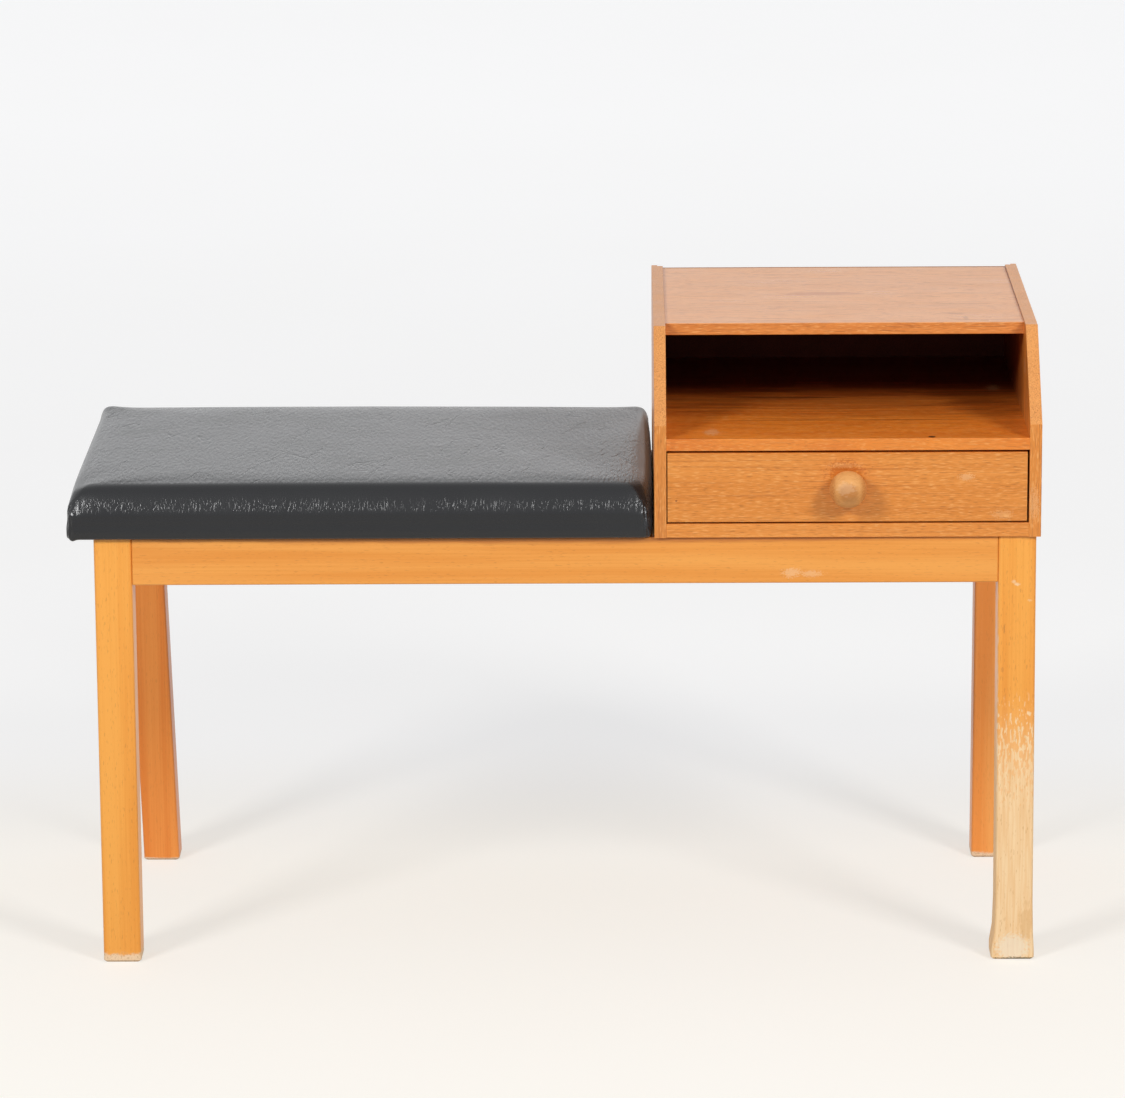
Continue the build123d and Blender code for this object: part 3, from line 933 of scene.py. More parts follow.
def add_fasteners(name: str, parts: list[Part], finish: str, body: str) -> None:
    """Add small steel fasteners as one piece.

    Args:
        name: the piece's name.
        parts: vertices and faces of each fastener, in the row frame.
        finish: the name of their finish.
        body: the body that they ride on.
    """
    vertices: list[Vector] = []
    faces: list[Face] = []
    for part_vertices, part_faces in parts:
        start = len(vertices)
        vertices += part_vertices
        faces += [tuple(start + v for v in face) for face in part_faces]
    mesh = bpy.data.meshes.new(name)
    mesh.from_pydata(vertices, [], faces)
    for polygon in mesh.polygons:
        polygon.use_smooth = len(polygon.vertices) == 4
    mesh.update()
    mesh.materials.append(ZincedSteel(finish).build())
    piece = add_object(name, mesh)
    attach(piece, body)
    LOG.info("added %s: %d of them", name, len(parts))


def dress(frame: dict[str, Any], finishes: dict[str, Finish]) -> None:
    """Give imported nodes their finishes.  Equal finishes are made once.

    Args:
        finishes: the finish of each node.
    """
    made = {finish: finish.build() for finish in dict.fromkeys(finishes.values())}
    for node, finish in finishes.items():
        mesh = frame["nodes"][node].data
        mesh.materials.clear()
        mesh.materials.append(made[finish])
        LOG.info("dressed %s in %s", node, finish.name)


# ---- The bench's sub-assemblies -----------------------------------------------------


@dataclass
class BeechFrame:
    """Legs, rails, corner blocks and their screws."""

    frame: dict[str, Any]
    worn_from: float = 282.0
    worn_to: float = 150.0
    seam_height: float = 415.0
    # Painted shadow: a darker band along the top of the front rail, under the seat's overhanging
    # front edge.
    painted_seat_shadow: Mark = Mark(
        (0.0, -181.0, 437.5), (560.0, 9.0, 8.5), "#A5581F", 0.6, (40.0, 3.0, 3.0), 0.5
    )

    def legs(self) -> None:
        """Dress the four legs, each with its own wear."""
        chip, ticks = (1.2, 1.2, 1.2), (1.2, 1.2, 2.5)
        chips = (
            Mark((457.0, -181.0, 387.5), (3.4, 9.0, 1.8), "#FBDDB4", 0.6, chip, 1.6),
            Mark((453.8, -181.0, 390.0), (2.6, 9.0, 2.2), "#FBDDB4", 0.5, chip, 1.6),
            Mark((469.5, -181.0, 371.0), (3.0, 9.0, 1.4), "#FAD2A0", 0.5, chip, 1.6),
            Mark((444.6, -181.0, 342.0), (1.0, 9.0, 6.0), "#C07430", 0.55, ticks, 1.4),
            Mark((443.4, -181.0, 300.0), (1.8, 9.0, 3.4), "#C87A36", 0.4, ticks, 1.4),
            Mark((437.5, -181.0, 240.0), (2.6, 6.0, 170.0), "#FAE3C8", 0.45, (1.4, 1.4, 10.0), 1.4),
            Mark((457.0, -181.0, 13.0), (20.0, 12.0, 17.0), "#F8EAD2", 0.6, (2.4, 2.4, 2.4), 1.4),
            Mark((470.0, -181.0, 38.0), (8.0, 9.0, 24.0), "#E0AE70", 0.45, (2.0, 2.0, 8.0), 1.6),
            Mark((462.0, -181.0, 0.0), (26.0, 9.0, 3.0), "#6F5A3C", 0.75, (2.4, 2.4, 1.2), 2.2),
        )
        dress(self.frame, {
            "leg_front_left": HoneyBeech(
                "honey_beech_front_left_leg", Grain.Z, 11.0, foot_band=9.0
            ),
            "leg_front_right": HoneyBeech(
                "honey_beech_front_right_leg", Grain.Z, 24.0, marks=chips,
                bare_above=self.worn_from, bare_below=self.worn_to,
            ),
            "leg_rear_left": HoneyBeech(
                "honey_beech_rear_left_leg", Grain.Z, 37.0, "#F99C46", "#EF8833",
                fleck_share=0.16, foot_band=3.0,
            ),
            "leg_rear_right": HoneyBeech(
                "honey_beech_rear_right_leg", Grain.Z, 50.0, "#FFAA56", "#F99842",
                fleck_share=0.14, foot_band=6.0,
            ),
        })

    def rails(self) -> None:
        """Dress the rails, the front one with scuffs, seams and a painted shadow under the seat's
        front edge.
        """
        scuffs = (
            Mark((234.0, -181.0, 400.0), (10.0, 9.0, 5.0), "#FBD3A4", 0.4, (1.6, 1.6, 1.2), 2.8),
            Mark((254.0, -181.0, 399.0), (12.0, 9.0, 4.0), "#FBD3A4", 0.35, (2.0, 2.0, 1.0), 2.8),
        )
        seams = tuple(
            Mark((corner.x / MM, -181.0, self.seam_height), (1.1, 6.0, 60.0), "#7A4418", 0.85,
                 (2.0, 2.0, 6.0), 0.3)
            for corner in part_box("front_rail")
        )
        inner = ("#F3A74E", "#E9963C")
        dress(self.frame, {
            "front_rail": HoneyBeech(
                "honey_beech_front_rail", Grain.X, 5.0, "#F3A54C", "#E9943A",
                marks=(*scuffs, *seams, self.painted_seat_shadow),
            ),
            "rear_rail": HoneyBeech("honey_beech_rear_rail", Grain.X, 15.0, *inner),
            "left_end_rail": HoneyBeech("honey_beech_left_end_rail", Grain.Y, 8.0, *inner),
            "right_end_rail": HoneyBeech("honey_beech_right_end_rail", Grain.Y, 18.0, *inner),
        })

    def inside(self) -> None:
        """Dress the unfinished pieces and the screws."""
        blocks = BareBeech("bare_beech_corner_blocks", Grain.X, 9.0)
        corners = ("front_left", "front_right", "rear_left", "rear_right")
        dress(self.frame, {
            "cross_rail": BareBeech("bare_beech_cross_rail", Grain.Y, 4.0),
            **{f"corner_block_{corner}": blocks for corner in corners},
            "corner_block_screws": ZincedSteel("zinced_steel_block_screws"),
        })

    def build(self) -> None:
        """Dress every piece of the frame."""
        self.legs()
        self.rails()
        self.inside()


@dataclass(frozen=True)
class Station:
    """One ring of the cushion: its height over the underside, how far in it lies at
    the front, both ends and the rear, and the radius of its corners.
    """

    height: float
    front: float
    end: float
    rear: float
    corner: float


@dataclass
class Cushion:
    """Foam on a plywood board, covered in vinyl that is stapled under the board.

    The cover is one closed form of rings.  A ring has the same number of points on
    each side as the grid on top, so that the whole cover is made of even quads.
    """

    frame: dict[str, Any]
    spacing: float = 12.0
    corner_room: float = 30.0
    corner_steps: int = 3
    lip: float = 34.0
    board_room: float = 0.15
    crown: float = 1.9
    rear_drop: float = 2.0
    right_drop: float = 1.8
    front_bulge: float = 1.5
    left_bulge: float = 1.2
    right_bulge: float = 3.9
    right_round: float = 4.4
    front_lean: float = 4.5
    panel_gap: float = 3.85
    pleat_depth: float = 0.4
    ripple_depth: float = 0.2
    ripple_height: float = 27.0
    ripple_reach: float = 7.0
    face_reach: float = 2.5
    lump_drop: float = 2.0
    held_below: float = 15.0
    pressure: float = 4.0
    last_frame: int = 20
    smoothings: int = 3
    cap: float = 1.2
    staple_inset: float = 26.0
    staple_step: float = 36.0
    staple_half: float = 5.0
    staple_wire: float = 0.45
    staple_proud: float = 0.25
    low: Vector = field(init=False)
    high: Vector = field(init=False)
    board_low: Vector = field(init=False)
    board_high: Vector = field(init=False)

    def __post_init__(self) -> None:
        """Take the cushion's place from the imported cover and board."""
        self.low, self.high = (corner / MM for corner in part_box("seat_cover"))
        self.board_low, self.board_high = (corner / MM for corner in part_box("seat_board"))

    def corners(self) -> list[tuple[float, float]]:
        """List the corners: front left, front right, rear left and rear right."""
        return [(x, y) for y in (self.low.y, self.high.y) for x in (self.low.x, self.high.x)]

    def stations(self) -> list[Station]:
        """List the rings from the lip's inner edge over the outside to the top.

        Returns:
            The stations.
        """
        skin = self.board_low.z - self.low.z - self.board_room
        under = ((skin, self.lip, 6.0), (0.0, self.lip, 6.0), (0.0, self.lip * 0.55, 7.0))
        outside = (
            (0.0, 4.4, 2.8, 4.4, 7.0), (0.4, 1.6, 0.9, 1.6, 7.0), (1.3, 0.6, 0.2, 0.6, 7.0),
            (3.4, 0.4, 0.0, 0.4, 7.5), (9.0, 0.3, 0.0, 0.3, 8.0), (15.0, 0.3, 0.0, 0.3, 8.0),
            (19.5, 0.4, 0.0, 0.4, 8.0), (22.3, 0.9, 0.1, 0.8, 8.0), (25.5, 1.0, 0.0, 0.6, 8.0),
            (29.0, 1.8, 0.0, 0.7, 8.0), (33.0, 3.3, 0.1, 1.2, 8.5), (37.0, 5.0, 0.6, 1.9, 9.0),
            (41.0, 6.8, 1.5, 3.0, 9.5), (44.6, 8.9, 2.7, 4.5, 10.0), (47.8, 11.1, 4.0, 6.2, 10.0),
            (50.3, 13.6, 5.2, 8.4, 10.0), (52.1, 16.6, 7.2, 11.5, 10.0),
            (52.8, 20.5, 11.0, 17.0, 11.0),
        )
        flat = [Station(height, inset, inset, inset, corner) for height, inset, corner in under]
        return flat + [Station(*row) for row in outside]

    def ring(self, counts: tuple[int, int], station: Station) -> np.ndarray:
        """Give one ring's points, four sides in order from the front.

        Args:
            counts: steps along the straight part of the long and the short sides.
            station: the ring's measures.

        Returns:
            An array of points.
        """
        corner, steps = station.corner, self.corner_steps
        x0, x1 = self.low.x + station.end, self.high.x - station.end
        y0, y1 = self.low.y + station.front, self.high.y - station.rear
        centres = np.array([
            (x0 + corner, y0 + corner), (x1 - corner, y0 + corner),
            (x1 - corner, y1 - corner), (x0 + corner, y1 - corner),
        ])
        points = []
        for side in range(4):
            first, second = centres[side], centres[(side + 1) % 4]
            facing = math.radians(90 * side - 90)
            count = counts[side % 2]
            for k in range(-steps, count + steps):
                turn = facing + math.radians(45) * (min(k, 0) + max(k - count, 0)) / steps
                centre = first + (second - first) * min(max(k / count, 0.0), 1.0)
                points.append(centre + corner * np.array([math.cos(turn), math.sin(turn)]))
        return np.column_stack([points, np.full(len(points), self.low.z + station.height)])

    def patch(self, ring: np.ndarray, along: int, across: int) -> np.ndarray:
        """Fill a ring with a grid of points by blending its four sides.

        Args:
            ring: the ring's points.
            along: steps of the grid along X.
            across: steps of the grid along Y.

        Returns:
            An array of (across + 1, along + 1) points, the ring's among them.
        """
        front = ring[: along + 1]
        right = ring[along : along + across + 1]
        rear = ring[along + across : 2 * along + across + 1][::-1]
        left = np.vstack([ring[2 * along + across :], ring[:1]])[::-1]
        u = np.linspace(0, 1, along + 1)[None, :, None]
        v = np.linspace(0, 1, across + 1)[:, None, None]
        front_to_rear = (1 - v) * front[None] + v * rear[None]
        left_to_right = (1 - u) * left[:, None] + u * right[:, None]
        corners = (
            (1 - u) * (1 - v) * front[0] + u * (1 - v) * front[-1]
            + (1 - u) * v * rear[0] + u * v * rear[-1]
        )
        return front_to_rear + left_to_right - corners

    def shape(self) -> tuple[np.ndarray, list[Face], int]:
        """Build the closed form.

        Returns:
            Points in millimetres, faces, and how many points one ring has.
        """
        straight = (
            round((self.high.x - self.low.x - self.corner_room) / self.spacing),
            round((self.high.y - self.low.y - self.corner_room) / self.spacing),
        )
        along, across = (count + 2 * self.corner_steps for count in straight)
        rings = [self.ring(straight, station) for station in self.stations()]
        size = len(rings[0])
        points = np.vstack(rings)
        first = (len(rings) - 1) * size
        # The number of each point of the top's grid: the last ring's, then new ones.
        number = np.full((across + 1, along + 1), -1)
        number[0, :] = first + np.arange(along + 1)
        number[:, along] = first + along + np.arange(across + 1)
        number[across, ::-1] = first + along + across + np.arange(along + 1)
        number[across - np.arange(across), 0] = first + 2 * along + across + np.arange(across)
        inner = self.patch(rings[-1], along, across)[1:-1, 1:-1].reshape(-1, 3)
        number[1:-1, 1:-1] = len(points) + np.arange(len(inner)).reshape(across - 1, along - 1)
        faces = band_faces(len(rings) - 1, size) + [
            (number[j, i], number[j, i + 1], number[j + 1, i + 1], number[j + 1, i])
            for j in range(across)
            for i in range(along)
        ]
        points, closing = self.close_over_board(np.vstack([points, inner]), size)
        return points, [tuple(int(v) for v in face) for face in faces + closing], size

    def close_over_board(self, points: np.ndarray, size: int) -> tuple[np.ndarray, list[Face]]:
        """Close the form round the board, which stays in view inside the lip.

        Args:
            points: the points so far, whose first ring is the lip's inner edge.
            size: points of one ring.

        Returns:
            All points, and the faces that close the form.
        """
        room = self.board_room
        lift = (self.board_high.z - self.board_low.z) + 2 * room
        ring = points[:size]
        middle = ring.mean(axis=0)
        half = (self.board_high - self.board_low) / 2
        edge = ring.copy()
        for axis in (0, 1):
            away = ring[:, axis] - middle[axis]
            edge[:, axis] = middle[axis] + away * (half[axis] + room) / np.abs(away).max()
        upper = edge + np.array([0.0, 0.0, lift])
        start = len(points)
        faces: list[Face] = []
        for a in range(size):
            b = (a + 1) % size
            faces.append((start + a, start + b, b, a))
            faces.append((start + size + a, start + size + b, start + b, start + a))
        faces.append(tuple(start + size + k for k in reversed(range(size))))
        return np.vstack([points, edge, upper]), faces

    def press(self, points: np.ndarray) -> np.ndarray:
        """Shape the foam: a low crown on top, and sides that bulge and lean.

        Args:
            points: the points in millimetres.

        Returns:
            The shaped points.
        """
        x, y, z = points.T
        low, high = self.low, self.high
        middle_x, middle_y = (low.x + high.x) / 2, (low.y + high.y) / 2
        u = np.clip((x - middle_x) / (high.x - middle_x), -1, 1)
        v = np.clip((y - middle_y) / (high.y - middle_y), -1, 1)
        height = z - low.z
        back = (1 + v) / 2
        # The crown falls towards the back, its right part more.  It rounds off at the
        # right end, apart from the two corners there.
        top = ramp(height, 34, 52) ** 1.5
        rise = self.crown * (1 - u**8) * (1 - v**8) - self.rear_drop * back
        rise -= self.right_drop * back * np.clip(u, 0, 1)
        inner = (1 - back**6) * ramp(back, 0, 0.25)
        rise -= self.right_round * ramp(x, high.x - 24, high.x) ** 2 * inner
        shaped = points.copy()
        shaped[:, 2] += rise * top
        # The pulled vinyl drops the front corners and lifts the rear ones.
        upper = ramp(height, 16, 46)
        for cx, cy, drop, reach_x, reach_y in (
            (low.x + 2, low.y + 2, 6.0, 9.0, 32.0),
            (high.x, low.y, 6.5, 12.0, 12.0),
            (low.x, high.y, -4.2, 14.0, 14.0),
            (high.x, high.y, -3.6, 10.0, 12.0),
        ):
            near = np.exp(-(((x - cx) / reach_x) ** 2 + ((y - cy) / reach_y) ** 2) / 2)
            shaped[:, 2] -= drop * near * upper
        # Each side bulges over the board.  The right end presses on the cabinet.
        along = np.maximum(np.sqrt(np.clip(1 - v**2, 0, 1)), 0.45 * back)
        proud = ramp(height, 0.4, 2.4)
        shaped[:, 0] += self.right_bulge * ramp(u, 11 / 12, 1) * proud * along
        shaped[:, 0] -= self.left_bulge * ramp(u, -11 / 12, -1) * proud
        shaped[:, 1] -= self.front_bulge * ramp(v, -7 / 8, -1) * proud
        # The front corner at the cabinet leans away from it towards its top.
        lean = ramp(x, high.x - 30, high.x) * hump(y, low.y, 30) * ramp(height, 0, 50)
        shaped[:, 0] -= self.front_lean * lean
        return shaped

    def fold(self, points: np.ndarray) -> np.ndarray:
        """Gather the vinyl into small pleats at the corners and ripple the sides.

        Args:
            points: the points in millimetres.

        Returns:
            The folded points.
        """
        x, y, z = points.T
        low, high = self.low, self.high
        height = z - low.z
        folded = points.copy()
        centre = np.array([(low.x + high.x) / 2, (low.y + high.y) / 2])
        for cx, cy in self.corners():
            from_x, from_y = np.abs(x - cx), np.abs(y - cy)
            away = np.hypot(from_x, from_y)
            side = np.where(from_x > from_y, from_x, -from_y)
            near = hump(away, 0, 16) * ramp(height, 0, 6) * ramp(height, 50, 34)
            pleat = np.sin(side * 0.85 + height * 0.12 + cx * 0.3)
            pleat += 0.5 * np.sin(side * 1.9 - height * 0.2)
            outward = np.column_stack([
                np.sign(cx - centre[0]) * (from_x < 10), np.sign(cy - centre[1]) * (from_y < 10)
            ])
            folded[:, :2] += self.pleat_depth * (near * pleat)[:, None] * outward
            # At the left corners a gathered lump hangs below the board.
            if cx < centre[0]:
                lump = hump(side, 5, 3.5) * hump(away, 0, 12) * (height < 2.5) * (away < 22)
                folded[:, 2] -= self.lump_drop * lump
        band = hump(height, self.ripple_height, self.ripple_reach)
        for axis, run in ((1, x), (0, y)):
            bent = run + 1.6 * np.sin(run * 0.11) + 0.12 * height * np.sin(run * 0.037)
            wave = np.sin(bent * 0.61) + 0.7 * np.sin(bent * 0.93 + 1.7)
            wave += 0.5 * np.sin(bent * 0.35 + 0.4)
            swell = 0.5 + 0.5 * np.sin(run * 0.053 + 2.2) * np.sin(run * 0.021 + 0.7)
            face, reach = points[:, axis], self.face_reach
            outward = (face > high[axis] - reach).astype(float) - (face < low[axis] + reach)
            folded[:, axis] += self.ripple_depth * wave * band * swell * outward
        folded[:, 0] = np.minimum(folded[:, 0], high.x + self.panel_gap)
        return folded

    def crease(self, mesh: bpy.types.Mesh, size: int) -> None:
        """Keep the lip's inner edge and the room for the board crisp.

        Args:
            mesh: the cover's mesh.
            size: points of one ring.
        """
        total = len(mesh.vertices)
        starts = (0, size, total - 2 * size, total - size)
        ring_of = {
            v: number for number, start in enumerate(starts) for v in range(start, start + size)
        }
        pairs = (edge.vertices for edge in mesh.edges)
        values = [float(ring_of.get(a, -1) == ring_of.get(b, -2)) for a, b in pairs]
        mesh.attributes.new("crease_edge", "FLOAT", "EDGE").data.foreach_set("value", values)

    def simulate(self, cushion: bpy.types.Object, fixed: np.ndarray) -> None:
        """Blow the cover up against its seams and keep the move within a cap.

        Args:
            cushion: the cover.
            fixed: true for each point that doesn't move.
        """
        mesh = cushion.data
        before = np.array([v.co for v in mesh.vertices])
        group = cushion.vertex_groups.new(name="held")
        group.add([int(i) for i in np.flatnonzero(fixed)], 1.0, "REPLACE")
        cloth = cushion.modifiers.new("stuffing", "CLOTH")
        settings = cloth.settings
        settings.quality = 4
        settings.mass = 0.3
        settings.tension_stiffness = settings.compression_stiffness = 30
        settings.shear_stiffness = 20
        settings.bending_stiffness = 1.0
        settings.use_pressure = True
        settings.uniform_pressure_force = self.pressure
        settings.effector_weights.gravity = 0.0
        settings.vertex_group_mass = group.name
        cloth.point_cache.frame_start = 1
        cloth.point_cache.frame_end = self.last_frame
        scene = bpy.context.scene
        for frame_number in range(1, self.last_frame + 1):
            scene.frame_set(frame_number)
        shaped = cushion.evaluated_get(bpy.context.evaluated_depsgraph_get())
        after = np.array([v.co for v in shaped.data.vertices])
        cushion.modifiers.clear()
        cushion.vertex_groups.clear()
        scene.frame_set(1)
        move = after - before
        ends = np.array([e.vertices for e in mesh.edges])
        count = np.bincount(ends.ravel(), minlength=len(before))[:, None]
        for _ in range(self.smoothings):
            near = np.zeros_like(move)
            np.add.at(near, ends[:, 0], move[ends[:, 1]])
            np.add.at(near, ends[:, 1], move[ends[:, 0]])
            move = np.where(fixed[:, None], 0.0, 0.5 * move + 0.5 * near / count)
        length = np.linalg.norm(move, axis=1, keepdims=True)
        cap = self.cap * MM
        still = 1e-9
        capped = cap * np.tanh(length / cap) / np.maximum(length, still)
        move *= np.where(length > still, capped, 0.0)
        mesh.vertices.foreach_set("co", (before + move).ravel())
        mesh.update()
        most = float(np.linalg.norm(move, axis=1).max()) / MM
        LOG.info("stuffed the cushion, it moved by up to %.1f mm", most)

    def cover(self) -> None:
        """Make the cushion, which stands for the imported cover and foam."""
        points, faces, size = self.shape()
        points = self.press(points)
        mesh = bpy.data.meshes.new("seat_cushion")
        mesh.from_pydata(points * MM, [], faces)
        self.crease(mesh, size)
        cushion = add_object("seat_cushion", mesh)
        self.simulate(cushion, points[:, 2] < self.low.z + self.held_below)
        subdivision = cushion.modifiers.new("even_cloth", "SUBSURF")
        subdivision.levels = subdivision.render_levels = 2
        smooth = bpy.data.meshes.new_from_object(
            cushion.evaluated_get(bpy.context.evaluated_depsgraph_get())
        )
        cushion.modifiers.clear()
        cushion.data = smooth
        folded = self.fold(np.array([v.co for v in smooth.vertices]) / MM)
        smooth.vertices.foreach_set("co", (folded * MM).ravel())
        for polygon in smooth.polygons:
            polygon.use_smooth = True
        smooth.materials.clear()
        smooth.materials.append(LeatherGrainVinyl().build())
        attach(cushion, "bench")
        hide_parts("seat_cover", "seat_foam")
        LOG.info("upholstered %s with %d faces", cushion.name, len(smooth.polygons))

    def staples(self) -> None:
        """Add the staples that hold the vinyl under the board."""
        half = self.staple_half
        # Each bend of a staple: how far along it lies, and how high.
        bends = (
            (-half, 0.75), (-half, 0.1), (-half + 0.5, -0.05), (0, -0.1),
            (half - 0.5, -0.05), (half, 0.1), (half, 0.75),
        )
        height = (self.low.z - self.staple_proud) * MM
        x0, x1 = self.low.x + self.staple_inset, self.high.x - self.staple_inset
        y0, y1 = self.low.y + self.staple_inset, self.high.y - self.staple_inset
        turns = ((x0, y0), (x1, y0), (x1, y1), (x0, y1), (x0, y0))
        parts = []
        for side, (start, end) in enumerate(zip(turns, turns[1:])):
            run = (end[0] - start[0], end[1] - start[1])
            count = int(math.hypot(*run) // self.staple_step)
            for k in range(count):
                share = (k + 0.5) / count
                place = Vector((start[0] + run[0] * share, start[1] + run[1] * share))
                # A staple gun never sets two alike: each is up to 14 degrees askew.
                turn = math.radians(90 * side + 14 * math.sin(7.3 * k + 2 * side))
                along = Vector((math.cos(turn), math.sin(turn)))
                spots = [((place + along * offset) * MM, rise) for offset, rise in bends]
                path = [Vector((spot.x, spot.y, height + rise * MM)) for spot, rise in spots]
                parts.append(bent_wire(path, self.staple_wire * MM))
        add_fasteners("seat_staples", parts, "zinced_steel_staples", "bench")

    def build(self) -> None:
        """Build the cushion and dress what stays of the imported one."""
        self.cover()
        self.staples()
        dress(self.frame, {
            "seat_board": BirchPlywood(),
            "seat_screws": ZincedSteel("zinced_steel_seat_screws"),
        })


@dataclass
class Cabinet:
    """Veneered panels of the cabinet with its back, dowels, screws, pins and stops."""

    frame: dict[str, Any]
    pin_step: float = 62.0
    pin_inset: float = 3.2
    pin_radius: float = 1.9
    pin_sink: float = 0.02

    def sides(self) -> None:
        """Dress the two sides, the right one with pale scuffs."""
        torn = 2.6
        specks = (
            Mark((472.0, -130.0, 560.0), (6.0, 6.0, 26.0), "#F6D9B4", 0.4, (1.0, 1.0, 1.0), torn),
            Mark((472.0, -178.0, 470.0), (7.0, 12.0, 20.0), "#F0C896", 0.3, (1.0, 1.0, 1.0), torn),
            Mark((467.0, -100.0, 590.0), (2.0, 12.0, 9.0), "#D9A074", 0.5, (1.0, 1.2, 1.2), torn),
        )
        # Both sides get painted shade on their inner faces and painted light on faces that look
        # upwards.
        dress(self.frame, {
            "cabinet_left_side": TeakVeneer(
                "teak_cabinet_left_side", Grain.Z, 3.0, "#E08E3E", "#CF7C32",
                painted_shade_side=(1.0, 0.0, 0.0), painted_top_light="#E09E5C", line_share=0.6,
            ),
            "cabinet_right_side": TeakVeneer(
                "teak_cabinet_right_side", Grain.Z, 13.0, "#E7923E", "#D58030",
                painted_shade_side=(-1.0, 0.0, 0.0), painted_top_light="#E7A35F", line_share=0.6, marks=specks,
            ),
        })

    def boards(self) -> None:
        """Dress the boards: a stained top, a shelf with a knot, and the bottom."""
        top_marks = (
            Mark((270.0, 72.0, 631.0), (46.0, 13.0, 3.0), "#B4602F", 0.42, (16.0, 5.0, 9.0), 1.3),
            Mark((402.0, -36.0, 631.0), (12.0, 3.0, 3.0), "#A4683E", 0.45, (4.0, 2.0, 4.0), 1.2),
            Mark((411.0, -58.0, 631.0), (3.0, 14.0, 3.0), "#A4683E", 0.4, (2.0, 5.0, 4.0), 1.2),
        )
        shelf_marks = (
            Mark((288.0, -185.0, 530.0), (260.0, 3.6, 30.0), "#EC9A40", 0.36, (3.0, 3.0, 3.0), 0.2),
            Mark((156.0, -152.0, 536.0), (9.0, 17.0, 2.0), "#E8BF92", 0.3, (2.0, 3.0, 3.0), 2.2),
            Mark((371.8, -176.0, 536.0), (4.6, 4.5, 3.0), "#2A1008", 0.95, (2.0, 3.0, 2.0), 0.5),
            Mark((235.0, 10.0, 536.0), (60.0, 5.0, 2.0), "#1C0804", 0.6, (30.0, 2.5, 3.0), 1.4),
            Mark((300.0, -97.0, 536.0), (150.0, 3.0, 2.0), "#7A3410", 0.5, (40.0, 2.0, 3.0), 1.8),
            Mark((446.0, 55.0, 536.0), (8.0, 16.0, 2.0), "#D9A778", 0.5, (1.2, 2.4, 1.2), 2.8),
        )
        # The top gets painted light on its upper face and painted shade on its underside; the shelf
        # gets painted shade towards the back.
        dress(self.frame, {
            "cabinet_top": TeakVeneer(
                "teak_cabinet_top", Grain.X, 23.0, "#E28C3E", "#D27C30", painted_top_light="#FFBE86",
                line_share=0.7, pore_share=0.36, painted_shade_side=(0.0, 0.0, -1.0), sway=10.0,
                roughness=0.3, marks=top_marks,
            ),
            "cabinet_shelf": TeakVeneer(
                "teak_cabinet_shelf", Grain.X, 33.0, "#EE8628", "#D66A18",
                painted_shade_side=(0.0, 0.0, 1.0), painted_shade_from=-135.0, painted_shade_to=110.0, sway=14.0,
                marks=shelf_marks,
            ),
            "cabinet_bottom": TeakVeneer(
                "teak_cabinet_bottom", Grain.X, 43.0, "#EA9540", "#DB8432"
            ),
        })

    def pins(self) -> None:
        """Add the pins that hold the back panel, with thin domed heads."""
        low, high = (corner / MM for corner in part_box("cabinet_back"))
        inset, radius = self.pin_inset, self.pin_radius
        width, rise = high.x - low.x - 2 * inset, high.z - low.z - 2 * inset
        columns, rows = round(width / self.pin_step), round(rise / self.pin_step)
        places = []
        for k in range(columns + 1):
            x = low.x + inset + width * k / columns
            places += [(x, low.z + inset), (x, high.z - inset)]
        for k in range(1, rows):
            z = low.z + inset + rise * k / rows
            places += [(low.x + inset, z), (high.x - inset, z)]
        head = [(radius, 0.0), (radius, 0.25), (radius * 0.8, 0.5), (radius * 0.3, 0.62)]
        outside = high.y - self.pin_sink
        parts = [
            pin_head(head, Vector((x, outside, z)) * MM, Vector((0, 1, 0))) for x, z in places
        ]
        add_fasteners("cabinet_back_pins", parts, "zinced_steel_back_pins", "bench")

    def build(self) -> None:
        """Dress every piece of the cabinet."""
        self.sides()
        self.boards()
        self.pins()
        dress(self.frame, {
            "cabinet_back": Hardboard("hardboard_cabinet_back", "#683321", "#522718", sawn=True),
            "cabinet_dowels": BareBeech("bare_beech_dowels", Grain.X, 2.0),
            "drawer_stops": BareBeech("bare_beech_stops", Grain.X, 6.0),
            "cabinet_screws": ZincedSteel("zinced_steel_cabinet_screws"),
        })


